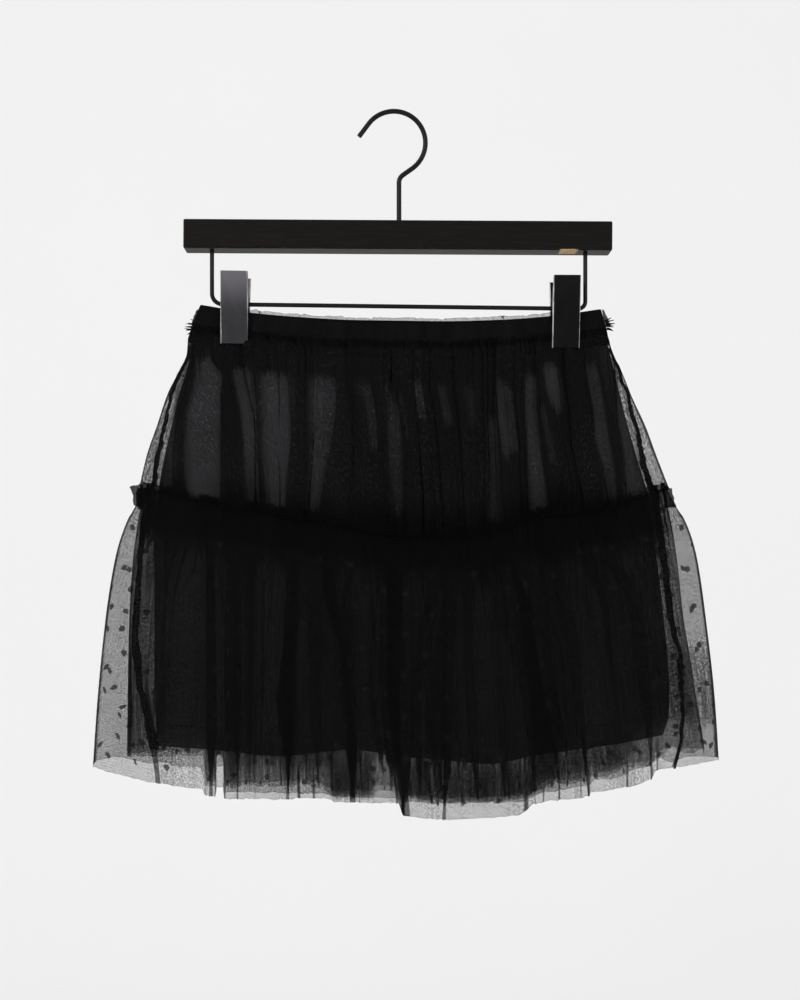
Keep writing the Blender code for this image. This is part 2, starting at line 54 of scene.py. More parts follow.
# ---- the hanging body, as in the CAD source --------------------------------
# level 0 is the waist edge, 1 the band's lower edge, 2 the seam between the
# tiers and 3 the hem: level, left x, right x, half depth, bow between the clips
OUTER = (
    (0.00, -135.9, 145.3, 3.40, 3.2), (0.50, -140.2, 148.0, 3.60, 3.4),
    (1.00, -143.7, 150.5, 3.80, 3.8), (1.12, -145.2, 155.0, 4.40, 4.2),
    (1.20, -149.4, 159.2, 5.40, 4.0), (1.38, -158.8, 166.7, 8.00, 3.2),
    (1.58, -165.8, 176.2, 11.0, 2.0), (1.77, -172.8, 183.5, 13.4, 1.0),
    (1.96, -177.4, 191.2, 15.5, 0.0), (2.02, -178.4, 193.7, 16.4, 0.0),
    (2.06, -180.6, 196.8, 18.0, 0.0), (2.11, -186.1, 203.1, 20.0, 0.0),
    (2.22, -193.4, 210.4, 23.5, 0.0), (2.32, -197.3, 214.0, 25.5, 0.0),
    (2.47, -201.5, 217.8, 28.0, 0.0), (2.76, -207.1, 223.9, 31.5, 0.0),
    (3.00, -210.3, 226.9, 33.5, 0.0),
)
UNDER = (
    (1.93, -173.7, 187.0, 12.2, 0.1), (2.00, -175.0, 190.0, 13.0, 0.0),
    (2.06, -177.0, 191.5, 14.2, 0.0), (2.15, -180.0, 195.0, 16.0, 0.0),
    (2.28, -183.0, 198.5, 18.0, 0.0), (2.47, -185.0, 202.4, 20.0, 0.0),
    (2.63, -185.8, 207.3, 21.2, 0.0), (2.76, -186.2, 210.8, 22.0, 0.0),
    (3.00, -186.6, 217.5, 23.2, 0.0),
)
LINING = (
    (1.00, -142.2, 149.0, 2.30, 3.8), (1.12, -142.8, 152.0, 2.90, 4.1),
    (1.20, -144.6, 154.0, 3.60, 3.9), (1.38, -150.4, 158.6, 5.80, 3.1),
    (1.58, -155.6, 164.0, 8.00, 1.9), (1.77, -160.2, 169.6, 9.30, 0.9),
    (1.96, -164.0, 175.6, 10.2, 0.0), (2.06, -165.4, 178.8, 10.8, 0.0),
    (2.28, -167.0, 184.6, 11.6, 0.0), (2.47, -167.6, 188.6, 12.4, 0.0),
    (2.63, -167.6, 191.6, 13.0, 0.0), (2.76, -167.2, 192.8, 13.4, 0.0),
    (2.85, -166.6, 192.0, 13.6, 0.0), (3.00, -165.4, 179.0, 13.8, 0.0),
)
FRONT_EDGES = (            # side (-1 left, 1 right), then the four level lines
    (-1.00, -134.6, -157.0, -262.7, -455.2), (-0.75, -140.6, -161.2, -272.8, -463.4),
    (-0.50, -144.9, -165.2, -281.0, -472.6), (-0.25, -147.9, -168.0, -288.5, -474.8),
    (0.00, -148.7, -168.8, -296.5, -484.6), (0.25, -148.8, -169.0, -296.9, -486.4),
    (0.50, -146.8, -166.8, -283.4, -475.4), (0.75, -143.0, -163.2, -277.0, -463.8),
    (1.00, -137.6, -158.8, -263.0, -451.4),
)
BACK_EDGES = (
    (-1.00, -134.6, -157.0, -262.7, -455.2), (-0.75, -139.6, -160.2, -274.0, -461.0),
    (-0.50, -142.4, -162.7, -282.5, -466.5), (-0.25, -144.0, -164.1, -289.0, -474.0),
    (0.00, -144.4, -164.5, -294.0, -478.5), (0.25, -144.9, -165.1, -293.0, -479.0),
    (0.50, -144.2, -164.2, -284.5, -470.0), (0.75, -142.0, -162.2, -276.0, -460.5),
    (1.00, -137.6, -158.8, -263.0, -451.4),
)
LINING_HEM = ((-1.0, 2.93), (-0.5, 2.87), (0.0, 2.81), (0.5, 2.85), (1.0, 2.91))
UNDER_HEM = ((-1.0, 2.975), (-0.5, 2.955), (0.0, 2.95), (0.5, 2.96), (1.0, 2.985))
ROUNDNESS = 2.5
CLIP_X = (-110.9, 119.8)
CLIP_TABLE = (("clip_left", -110.9, -133.5, 1.0), ("clip_right", 119.8, -136.42, 0.3))

# ---- the viewing place: where the camera stands, in mm ----------------------
EYE_X, EYE_Z, EYE_DISTANCE = -9.7, -319.4, 930.0

# ---- where the net lies thin, as seen from the front -----------------------
# how thin it lies (1 = a single ply), then height, left x and right x down it
UPPER_THIN = (
    (1.0, ((-173.8, -137.1, -127.3), (-182.2, -137.1, -119.6), (-200.4, -141.3, -121.0), (-208.8, -145.5, -121.0), (-228.4, -146.5, -121.7), (-249.4, -146.5, -122.0), (-269.7, -144.1, -123.1))),
    (0.9, ((-180.8, -116.1, -107.7), (-200.4, -111.2, -102.1), (-214.4, -109.1, -97.9), (-228.4, -107.7, -97.2), (-249.4, -106.3, -97.9), (-272.5, -103.5, -98.6))),
    (0.5, ((-182.2, -100.7, -95.1), (-200.4, -100.0, -93.7), (-215.8, -98.6, -93.0))),
    (1.0, ((-186.4, -88.1, -76.2), (-207.4, -88.8, -74.1), (-221.4, -92.3, -72.7), (-235.4, -90.9, -73.4), (-252.2, -87.4, -75.5), (-274.6, -86.0, -76.2))),
    (0.45, ((-183.6, -74.8, -70.6), (-214.4, -72.0, -68.5))),
    (0.6, ((-186.4, -61.5, -41.2), (-214.4, -62.2, -41.9), (-239.6, -61.5, -46.8), (-276.0, -62.2, -53.8))),
    (0.55, ((-187.8, -46.8, -41.9), (-200.4, -46.1, -41.2), (-228.4, -49.6, -44.7), (-241.0, -51.0, -46.1))),
    (0.5, ((-189.2, -24.4, -16.7), (-206.0, -19.5, -13.2), (-235.4, -17.4, -11.1))),
    (0.5, ((-190.6, -6.9, -2.0), (-207.4, -5.5, 2.9), (-228.4, -4.8, 5.7), (-249.4, -4.1, 6.4), (-280.2, 0.1, 6.4))),
    (0.6, ((-197.6, 2.9, 5.7), (-228.4, 7.8, 10.6))),
    (0.6, ((-189.2, 14.1, 18.3), (-213.0, 16.9, 21.8))),
    (0.5, ((-190.6, 32.3, 35.1), (-217.2, 37.2, 40.7))),
    (0.4, ((-192.0, 51.2, 56.1), (-218.6, 52.6, 58.2))),
    (0.5, ((-214.4, 65.9, 70.1), (-241.0, 67.3, 71.5), (-284.4, 66.6, 73.6))),
    (0.6, ((-189.2, 72.9, 77.1), (-241.0, 77.1, 81.3))),
    (0.6, ((-192.0, 78.5, 82.0), (-236.8, 82.7, 87.6))),
    (0.7, ((-185.0, 91.8, 98.1), (-207.4, 91.8, 98.1), (-228.4, 93.2, 101.6), (-249.4, 93.9, 104.4), (-278.8, 95.3, 107.9))),
    (0.5, ((-204.6, 101.6, 105.8), (-228.4, 106.5, 111.4), (-245.2, 110.7, 114.9))),
    (0.85, ((-178.0, 105.8, 114.2), (-193.4, 108.6, 116.3), (-208.8, 113.5, 117.0))),
    (0.75, ((-176.6, 133.1, 143.6), (-193.4, 135.9, 147.1), (-207.4, 138.7, 149.2), (-228.4, 139.4, 152.0), (-249.4, 145.0, 154.8), (-269.0, 148.5, 156.2))),
    (0.8, ((-189.2, 154.1, 159.7), (-217.2, 155.5, 166.0), (-242.4, 159.0, 170.9), (-256.4, 159.0, 175.8), (-269.0, 159.7, 180.0))),
    (0.6, ((-200.4, -158.1, -152.5), (-228.4, -163.7, -153.9), (-260.6, -168.6, -154.6))),
)
LOWER_THIN = (
    (0.9, ((-284.4, -137.1, -129.4), (-301.9, -134.3, -127.3), (-322.9, -130.8, -125.2), (-344.6, -128.7, -125.2))),
    (0.75, ((-294.9, -174.2, -163.7), (-340.4, -174.9, -162.3), (-396.4, -176.3, -163.7), (-441.9, -172.1, -165.1))),
    (0.45, ((-340.4, -163.7, -145.5), (-441.9, -165.1, -135.7))),
    (0.35, ((-305.4, -120.3, -107.7), (-438.4, -120.3, -105.6))),
    (0.35, ((-312.4, -95.1, -78.3), (-438.4, -96.5, -82.5))),
    (0.3, ((-354.4, -65.7, -55.2), (-441.9, -63.6, -50.3))),
    (0.35, ((-312.4, -34.2, -19.5), (-441.9, -32.1, -16.7))),
    (0.3, ((-326.4, 7.8, 19.0), (-441.9, 9.2, 21.8))),
    (0.35, ((-312.4, 44.9, 74.3), (-441.9, 43.5, 82.7))),
    (0.35, ((-312.4, 120.5, 137.3), (-441.9, 137.3, 156.9))),
    (0.45, ((-291.4, 133.1, 144.3), (-312.4, 141.5, 152.7), (-368.4, 148.5, 159.7))),
    (0.8, ((-438.4, -123.4, -119.6), (-480.4, -123.4, -119.6))),
    (0.6, ((-446.8, -65.7, -46.1), (-476.9, -64.3, -44.7))),
    (0.85, ((-448.9, -15.3, 5.7), (-484.6, -14.6, 5.7))),
    (0.6, ((-455.9, 42.8, 74.3), (-494.4, 42.8, 77.8))),
    (0.9, ((-434.9, 163.9, 183.5), (-473.4, 162.5, 184.2))),
    (0.85, ((-444.0, -163.7, -133.6), (-473.4, -163.7, -133.6))),
    (0.8, ((-298.4, 182.1, 189.1), (-354.4, 184.2, 191.9), (-410.4, 191.2, 200.3), (-452.4, 189.1, 198.2))),
)
SEAM_UPPER_LEFT = ((-173.8, -147.2), (-178.0, -149.7), (-195.5, -156.7), (-217.9, -161.6), (-235.4, -165.8), (-245.9, -168.2), (-259.9, -169.3), (-270.4, -172.8))
SEAM_UPPER_RIGHT = ((-173.8, 156.9), (-186.4, 160.4), (-196.9, 164.6), (-214.4, 169.5), (-228.4, 173.0), (-249.4, 177.2), (-266.2, 184.2), (-274.6, 186.3))
SEAM_LOWER_LEFT = ((-270.4, -173.5), (-280.9, -176.6), (-301.9, -177.7), (-319.4, -179.1), (-333.4, -180.5), (-350.9, -182.2), (-368.4, -182.9), (-388.0, -181.9), (-403.4, -178.7), (-420.9, -175.2), (-438.4, -170.7), (-459.4, -166.5))
SEAM_LOWER_RIGHT = ((-266.2, 184.6), (-280.9, 186.3), (-301.9, 189.8), (-322.9, 192.3), (-353.0, 196.1), (-375.4, 201.0), (-403.4, 203.1), (-424.4, 203.8), (-441.9, 202.1), (-462.9, 195.4))


# ---- small helpers ----------------------------------------------------------
def smooth(points, at):
    """Monotone cubic through (position, value) pairs, flat outside them."""
    xs = np.array([p[0] for p in points], float)
    ys = np.array([p[1] for p in points], float)
    at = np.clip(np.asarray(at, float), xs[0], xs[-1])
    h = np.diff(xs)
    m = np.diff(ys) / h
    t = np.empty_like(ys)
    t[0], t[-1] = m[0], m[-1]
    both = m[:-1] * m[1:]
    safe = np.where(np.abs(m[:-1] + m[1:]) < 1e-12, 1.0, m[:-1] + m[1:])
    t[1:-1] = np.where(both <= 0, 0.0, 2 * both / safe)
    k = np.clip(np.searchsorted(xs, at, side="right") - 1, 0, len(h) - 1)
    s = (at - xs[k]) / h[k]
    return (
        ys[k] * (1 + 2 * s) * (1 - s) ** 2
        + t[k] * h[k] * s * (1 - s) ** 2
        + ys[k + 1] * s * s * (3 - 2 * s)
        + t[k + 1] * h[k] * s * s * (s - 1)
    )


def column(table, index):
    return [(row[0], row[index]) for row in table]


def ramp(a, b, x):
    """0 before a, 1 after b, smooth between."""
    s = np.clip((np.asarray(x, float) - a) / (b - a), 0.0, 1.0)
    return s * s * (3 - 2 * s)


LATTICES = {}


def noise(seed, x, y=0.0):
    """Smooth noise from -1 to 1 on a seeded lattice."""
    if seed not in LATTICES:
        LATTICES[seed] = np.random.RandomState(seed).uniform(-1, 1, (257, 61))
    grid = LATTICES[seed]
    x = np.mod(np.asarray(x, float), 256)
    y = np.mod(np.asarray(y, float), 60)
    x, y = np.broadcast_arrays(x, y)
    i, j = x.astype(int), y.astype(int)
    fx, fy = x - i, y - j
    fx, fy = fx * fx * (3 - 2 * fx), fy * fy * (3 - 2 * fy)
    return (
        grid[i, j] * (1 - fx) * (1 - fy) + grid[i + 1, j] * fx * (1 - fy)
        + grid[i, j + 1] * (1 - fx) * fy + grid[i + 1, j + 1] * fx * fy
    )


def level_height(side, level, front):
    """Height of a level line at a side position, front or back."""
    out = None
    for table, where in ((FRONT_EDGES, front), (BACK_EDGES, ~front)):
        lines = [smooth(column(table, k), side) for k in (1, 2, 3, 4)]
        low = np.clip(level.astype(int), 0, 2)
        a = np.choose(low, lines[:3])
        b = np.choose(low, lines[1:])
        z = a + (b - a) * (level - low)
        out = z if out is None else np.where(where, z, out)
    return out


def section(body, q, level, inset):
    """Points round the hanging body in mm. q runs 0..2 across the front from the left, 2..4 across the back."""
    q = np.mod(q, 4.0)
    front = q <= 2.0
    side = np.clip(np.where(front, q - 1.0, 3.0 - q), -1.0, 1.0)
    if callable(level):
        level = level(side)
    level = np.broadcast_to(np.asarray(level, float), q.shape)
    left, right, depth, bow = (smooth(column(body, k), level) for k in (1, 2, 3, 4))
    x = (left + right) / 2 + ((right - left) / 2 - inset) * side
    round_off = (1 - np.abs(side) ** ROUNDNESS) ** (1 / ROUNDNESS)
    between = (x - CLIP_X[0]) / (CLIP_X[1] - CLIP_X[0])
    bulge = np.where((between > 0) & (between < 1), bow * np.sin(math.pi * between) ** 2, 0.0)
    out = np.maximum(depth - inset, 0.3) * round_off + bulge
    y = np.where(front, -out, out)
    return x, y, level_height(side, level, front), side, level, front


def seen(x, y, z):
    """Where a point seems to be, in mm on the plane y = 0, from the front."""
    k = EYE_DISTANCE / (EYE_DISTANCE + y)
    return EYE_X + (x - EYE_X) * k, EYE_Z + (z - EYE_Z) * k


def thinness(table, x, z, soft=3.5, top=1e9, low=-1e9, grow=0.0):
    """How thin the net lies at places seen from the front."""
    total = np.zeros_like(x)
    z = np.clip(z, low, top)
    for strength, track in table:
        zs = [p[0] for p in track][::-1]
        lefts = [p[1] for p in track][::-1]
        rights = [p[2] for p in track][::-1]
        a, b = np.interp(z, zs, lefts) - grow, np.interp(z, zs, rights) + grow
        room = min(soft, 0.45 * float(np.mean(np.array(rights) - np.array(lefts))))
        across = ramp(a - room * 0.4, a + room, x) * (1 - ramp(b - room, b + room * 0.4, x))
        down = ramp(zs[0] - 6, zs[0] + 3, z) * (1 - ramp(zs[-1] - 2, zs[-1] + 9, z))
        total = np.maximum(total, strength * across * down)
    return total


def seam_q(body, track, right, level_of):
    """Side position of a seam on the front, from its seen places, as a function of the level."""
    zs, xs = [p[0] for p in track][::-1], [p[1] for p in track][::-1]

    def place(row):
        q = np.linspace(0.0, 2.0, 801)
        x, y, z, side, level, front = section(body, q, row, 0.0)
        sx, sz = seen(x, y, z)
        target = np.interp(sz, zs, xs)
        half = q > 1.0 if right else q < 1.0
        k = np.argmin(np.where(half, np.abs(sx - target), 1e9))
        return float(q[k])

    return place


def make_mesh(name, points, uvs=None, fields=None, closed=False):
    """A grid of points, rows x columns x 3 in mm, as an object with UVs in metres."""
    rows, cols = points.shape[:2]
    verts = (points.reshape(-1, 3) * MM).astype(np.float32)
    r, c = np.meshgrid(np.arange(rows - 1), np.arange(cols - 1), indexing="ij")
    a = (r * cols + c).ravel()
    quads = np.stack([a, a + cols, a + cols + 1, a + 1], axis=1)
    mesh = bpy.data.meshes.new(name)
    mesh.vertices.add(len(verts))
    mesh.vertices.foreach_set("co", verts.ravel())
    mesh.loops.add(quads.size)
    mesh.loops.foreach_set("vertex_index", quads.ravel().astype(np.int32))
    mesh.polygons.add(len(quads))
    mesh.polygons.foreach_set("loop_start", np.arange(0, quads.size, 4, dtype=np.int32))
    mesh.update(calc_edges=True)
    if uvs is not None:
        layer = mesh.uv_layers.new(name="UVMap")
        flat = uvs.reshape(-1, 2)[quads.ravel()].astype(np.float32)
        layer.uv.foreach_set("vector", flat.ravel())
    for key, values in (fields or {}).items():
        attribute = mesh.attributes.new(key, "FLOAT", "POINT")
        attribute.data.foreach_set("value", values.astype(np.float32).ravel())
    mesh.validate()
    mesh.shade_smooth()
    obj = bpy.data.objects.new(name, mesh)
    scene.collection.objects.link(obj)
    return obj


KEY_SHARES = (0.0, 0.5, 1.0)


def line_places(lines, sx, sz, arc):
    """Arc positions of the fold lines on one row, with the row's two ends."""
    places = [arc[0]]
    for fullness, track in lines:
        zs = [p[0] for p in track][::-1]
        for k in (1, 2):
            want = np.interp(sz, zs, [p[k] for p in track][::-1])
            places.append(float(np.interp(0.0, sx - want, arc)))
    places.append(arc[-1])
    return np.maximum.accumulate(np.array(places))


def line_crowds(lines):
    """Fullness of each strip between two fold lines, from one end to the other."""
    out = [None]
    for fullness, track in lines:
        out += [fullness, None]
    return out




def cloth(name, body, ends, rows, columns, length, thin=None, crowd=3.0, waves=(), drift=0.0,
          seed=1, height=100.0, hem_jag=0.0, edge_room=9.0, hem_line=None, back_line=None, lines=None, strict=False, pressed=False, top_jag=0.0, gather=None, painted_shade=None):
    """A gathered sheet from one seam to the other, as a grid.

    ends: functions of the row's middle level that give where the sheet starts and ends round the body.
    rows: (share of the height, level or function of the side, inset, (wave strengths)).
    length: the cloth's own length across, in mm. waves: (wave length, fold, lift, seed) in mm of cloth.
    """
    u = np.linspace(0.0, 1.0, columns)
    own = u * length
    grid, uv, turn, hem, tight, shade = [], [], [], [], [], []
    fade = ramp(0, edge_room, own) * ramp(0, edge_room, length - own)

    def round_row(level, inset):
        q0, q1 = ends[0](level), ends[1](level)
        if q1 <= q0:
            q1 += 4.0
        x, y, z, side, lev, front = section(body, np.linspace(q0, q1, 5200), level, inset)
        step = np.hypot(np.diff(x), np.diff(y))
        arc = np.concatenate([[0.0], np.cumsum(step)])
        return x, y, z, side, front, step, arc

    shares = [row[0] for row in rows]
    if lines is None:
        # where each thread hangs, worked out on a few rows and eased between them
        keys = [int(np.argmin([abs(s - want) for s in shares])) for want in KEY_SHARES]
        hang = []
        for k in keys:
            share, level, inset, strengths = rows[k]
            x, y, z, side, front, step, arc = round_row(level, inset)
            sx, sz = seen(x, y, z)
            single = np.zeros_like(x) if thin is None else thin(sx, sz, side, front, share)
            loose = (1.0 - single) * (1 + 0.20 * noise(seed + 7, arc / 19.0, 0.5))
            weight = np.gradient(arc)
            pile = (length - 1.015 * float(np.sum(single * weight))) / float(np.sum(loose * weight))
            dense = loose * pile + 1.015 * single
            amount = np.concatenate([[0.0], np.cumsum(step * (dense[1:] + dense[:-1]) / 2)])
            hang.append(np.interp(u * amount[-1], amount, arc) / arc[-1])
        hang = np.array(hang)
        spots = np.array([shares[k] for k in keys])
        slope = np.gradient(hang, spots, axis=0)
    else:
        # the same threads run down every fold line; the cloth is spread evenly between two lines
        spans = []
        for share, level, inset, strengths in rows:
            x, y, z, side, front, step, arc = round_row(level, inset)
            sx, sz = seen(x, y, z)
            spans.append(line_places(lines, sx, sz, arc))
        spans = np.array(spans)
        gaps = np.diff(spans, axis=1)
        fullness = line_crowds(lines)
        fixed = np.array([0.0 if f is None else f for f in fullness])
        amounts = np.where(fixed > 1.6, gaps.mean(axis=0) * fixed, gaps.max(axis=0) * fixed)
        free = np.array([gap if f is None else 0.0 for gap, f in zip(gaps.mean(axis=0), fullness)])
        amounts = amounts + free * (length - amounts.sum()) / free.sum()
        marks = np.concatenate([[0.0], np.cumsum(amounts)])
        marks = marks / marks[-1] * length

    for share, level, inset, strengths in rows:
        x, y, z, side, front, step, arc = round_row(level, inset)
        nx, ny = np.gradient(y), -np.gradient(x)
        size = np.hypot(nx, ny) + 1e-12
        nx, ny = nx / size, ny / size
        if lines is None:
            k = int(np.clip(np.searchsorted(spots, share, side="right") - 1, 0, len(spots) - 2))
            h = spots[k + 1] - spots[k]
            t = (share - spots[k]) / h
            at = (hang[k] * (1 + 2 * t) * (1 - t) ** 2 + slope[k] * h * t * (1 - t) ** 2
                  + hang[k + 1] * t * t * (3 - 2 * t) + slope[k + 1] * h * t * t * (t - 1))
            at = np.maximum.accumulate(np.clip(at, 0.0, 1.0)) * arc[-1]
        else:
            at = np.interp(own, marks, spans[len(grid)])
        full = np.maximum(1.001, (length / (columns - 1)) / np.maximum(np.gradient(at), 1e-4))
        slack = np.sqrt(1 - 1 / full ** 2)
        slack = np.convolve(np.pad(slack, 4, mode="edge"), np.ones(9) / 9, mode="valid")
        across, out = np.zeros_like(u), np.zeros_like(u)
        for (wave, fold, lift, key), strength in zip(waves, strengths):
            phase = own / wave + 0.9 * noise(key, own / (3.1 * wave), 2.0) + drift * noise(key + 50, own / (6.0 * wave), share * 0.9 + 3)
            g = np.sin(2 * math.pi * phase + 0.35 * np.sin(2 * math.pi * phase))
            vary = 0.75 + 0.45 * noise(key + 100, own / (2.0 * wave), share * 1.2)
            across += strength * vary * fold * wave / 4 * slack * g
            out += strength * vary * lift * wave / 4 * slack * (0.55 + 0.45 * g)
        across *= fade
        if strict:
            edges = spans[len(grid)]
            slot = np.clip(np.searchsorted(edges, at, side="right") - 1, 0, len(edges) - 2)
            room = np.maximum(np.minimum(at - edges[slot], edges[slot + 1] - at), 0.15)
            across = room * np.tanh(across / room)
        place = np.clip(at - across, 0.0, arc[-1])
        out *= fade * (1 - ramp(0.80, 0.965, np.abs(np.interp(place, arc, side))))
        if pressed:
            held = np.interp(place, arc, x)
            near = np.maximum(1 - ramp(10.8, 15.5, np.abs(held - CLIP_X[0])), 1 - ramp(10.8, 15.5, np.abs(held - CLIP_X[1])))
            out *= 1 - near * (1 - float(ramp(0.16, 0.30, share)))
        px = np.interp(place, arc, x) + np.interp(place, arc, nx) * out
        py = np.interp(place, arc, y) + np.interp(place, arc, ny) * out
        pz = np.interp(place, arc, z)
        if hem_jag:
            jag = noise(seed + 31, own / 9.0, 1.0) * 0.6 + noise(seed + 32, own / 2.3, 1.0) * 0.4
            pz = pz - hem_jag * jag * ramp(0.6, 1.0, share)
        if hem_line is not None:
            hx, hy, hz = section(body, np.linspace(0.0, 2.0, 2001), rows[-1][1], rows[-1][2])[:3]
            hx, hz = seen(hx, hy, hz)
            ax, az = seen(px, py, pz)
            want = np.interp(ax, [p[0] for p in hem_line], [p[1] for p in hem_line])
            is_at = np.interp(ax, hx, hz)
            ahead = ramp(1.0, -3.0, py)
            pz = pz + ahead * (want - is_at) * float(ramp(0.70, 1.0, share)) * (EYE_DISTANCE + py) / EYE_DISTANCE
        if back_line is not None:
            hx, hy, hz = section(body, np.linspace(4.0, 2.0, 2001) - 1e-9, rows[-1][1], rows[-1][2])[:3]
            hx, hz = seen(hx, hy, hz)
            ax, az = seen(px, py, pz)
            want = np.interp(ax, [p[0] for p in back_line], [p[1] for p in back_line])
            pz = pz + ramp(-1.0, 3.0, py) * (want - np.interp(ax, hx, hz)) * float(ramp(0.70, 1.0, share)) * (EYE_DISTANCE + py) / EYE_DISTANCE
        if top_jag:
            rag = noise(seed + 61, own / 7.0, 1.0) * 0.6 + noise(seed + 62, own / 1.9, 1.0) * 0.4
            pz = pz + top_jag * rag * float(1 - ramp(0.0, 0.06, share))
        grid.append(np.stack([px, py, pz], axis=1))
        uv.append(np.stack([own * MM, np.full_like(u, share * height * MM)], axis=1))
        dx, dy = np.gradient(px), np.gradient(py)
        turn.append(1 - np.abs(dx) / (np.hypot(dx, dy) + 1e-9))
        hem.append(np.full_like(u, (1 - share) * height))
        sx, sz = seen(px, py, pz)
        round_side = np.interp(at, arc, side)
        tight.append(np.zeros_like(u) if gather is None else gather(own, sx, sz, py < 0, round_side, share))
        # painted shade for the threads in deep gathers, carried to the net material as an attribute
        shade.append(np.zeros_like(u) if painted_shade is None else painted_shade(own, sx, share))
    return make_mesh(name, np.array(grid), np.array(uv),
                     {"turn": np.array(turn), "hem_mm": np.array(hem), "gather": np.clip(np.array(tight), -0.5, 1.0), "painted_shade": np.clip(np.array(shade), 0.0, 1.0)})


def tube(name, path, radius, sides=20, caps=True, taper=None):
    """A round rod along points in mm."""
    pts = [Vector(p) for p in path]
    n = len(pts)
    tangents = [(pts[min(k + 1, n - 1)] - pts[max(k - 1, 0)]).normalized() for k in range(n)]
    up = Vector((0, 1, 0)) if abs(tangents[0].y) < 0.9 else Vector((1, 0, 0))
    verts, faces = [], []
    normal = (up - tangents[0] * up.dot(tangents[0])).normalized()
    for k in range(n):
        t = tangents[k]
        normal = (normal - t * normal.dot(t)).normalized()
        side = t.cross(normal)
        r = radius * (taper(k / (n - 1)) if taper else 1.0)
        for j in range(sides):
            a = math.tau * j / sides
            verts.append((pts[k] + (normal * math.cos(a) + side * math.sin(a)) * r) * MM)
    for k in range(n - 1):
        for j in range(sides):
            a, b = k * sides + j, k * sides + (j + 1) % sides
            faces.append((a, b, b + sides, a + sides))
    if caps:
        faces.append(tuple(range(sides))[::-1])
        faces.append(tuple(range((n - 1) * sides, n * sides)))
    mesh = bpy.data.meshes.new(name)
    mesh.from_pydata(verts, [], faces)
    mesh.validate()
    mesh.shade_smooth()
    mesh.set_sharp_from_angle(angle=math.radians(60))
    obj = bpy.data.objects.new(name, mesh)
    scene.collection.objects.link(obj)
    return obj


# ---- materials ----------------------------------------------------------------
class Shade:
    """A short way to write a node tree."""

    def __init__(self, name):
        self.mat = bpy.data.materials.new(name)
        self.mat.use_nodes = True
        self.tree = self.mat.node_tree
        self.shader = self.tree.nodes["Principled BSDF"]

    def node(self, kind, **settings):
        made = self.tree.nodes.new(kind)
        for key, value in settings.items():
            setattr(made, key, value)
        return made

    def link(self, source, target):
        self.tree.links.new(source, target)

    def put(self, socket, value):
        if isinstance(value, bpy.types.NodeSocket):
            self.link(value, socket)
        else:
            socket.default_value = value

    def math(self, operation, a, b=None, c=None, clamp=False):
        made = self.node("ShaderNodeMath", operation=operation, use_clamp=clamp)
        for k, value in enumerate((a, b, c)):
            if value is not None:
                self.put(made.inputs[k], value)
        return made.outputs[0]

    def dot(self, vector, by):
        made = self.node("ShaderNodeVectorMath", operation="DOT_PRODUCT")
        self.put(made.inputs[0], vector)
        made.inputs[1].default_value = by
        return made.outputs["Value"]

    def scaled(self, vector, by):
        made = self.node("ShaderNodeVectorMath", operation="MULTIPLY")
        self.put(made.inputs[0], vector)
        made.inputs[1].default_value = by
        return made.outputs["Vector"]

    def parts(self, vector):
        made = self.node("ShaderNodeSeparateXYZ")
        self.put(made.inputs[0], vector)
        return made.outputs[0], made.outputs[1], made.outputs[2]

    def spread(self, value, a, b, c, d, smoothly=True):
        made = self.node("ShaderNodeMapRange", interpolation_type="SMOOTHSTEP" if smoothly else "LINEAR")
        made.clamp = True
        self.put(made.inputs["Value"], value)
        for key, v in (("From Min", a), ("From Max", b), ("To Min", c), ("To Max", d)):
            made.inputs[key].default_value = v
        return made.outputs["Result"]

    def noise(self, vector, scale, detail=2.0, rough=0.5):
        made = self.node("ShaderNodeTexNoise")
        self.put(made.inputs["Vector"], vector)
        made.inputs["Scale"].default_value = scale
        made.inputs["Detail"].default_value = detail
        made.inputs["Roughness"].default_value = rough
        return made.outputs["Fac"]

    def mix(self, fac, a, b):
        made = self.node("ShaderNodeMix", data_type="RGBA")
        self.put(made.inputs[0], fac)
        self.put(made.inputs[6], (*a, 1.0) if isinstance(a, tuple) else a)
        self.put(made.inputs[7], (*b, 1.0) if isinstance(b, tuple) else b)
        return made.outputs[2]

    def bump(self, height, distance, strength=1.0):
        made = self.node("ShaderNodeBump")
        made.inputs["Distance"].default_value = distance
        made.inputs["Strength"].default_value = strength
        self.put(made.inputs["Height"], height)
        self.link(made.outputs["Normal"], self.shader.inputs["Normal"])

    def uv(self):
        return self.node("ShaderNodeTexCoord").outputs["UV"]

    def place(self):
        return self.node("ShaderNodeTexCoord").outputs["Object"]

    def field(self, name):
        return self.node("ShaderNodeAttribute", attribute_name=name).outputs["Fac"]

    def base(self, colour=None, rough=None, metallic=None, specular=None, sheen=None, sheen_rough=None, coat=None):
        for key, value in (("Base Color", colour), ("Roughness", rough), ("Metallic", metallic),
                           ("Specular IOR Level", specular), ("Sheen Weight", sheen),
                           ("Sheen Roughness", sheen_rough), ("Coat Weight", coat)):
            if value is not None:
                if isinstance(value, tuple):
                    value = (*value, 1.0)
                self.put(self.shader.inputs[key], value)


NET_PITCH = 0.0011         # from hole to hole
NET_OPEN, NET_THREAD = 0.20, 0.69


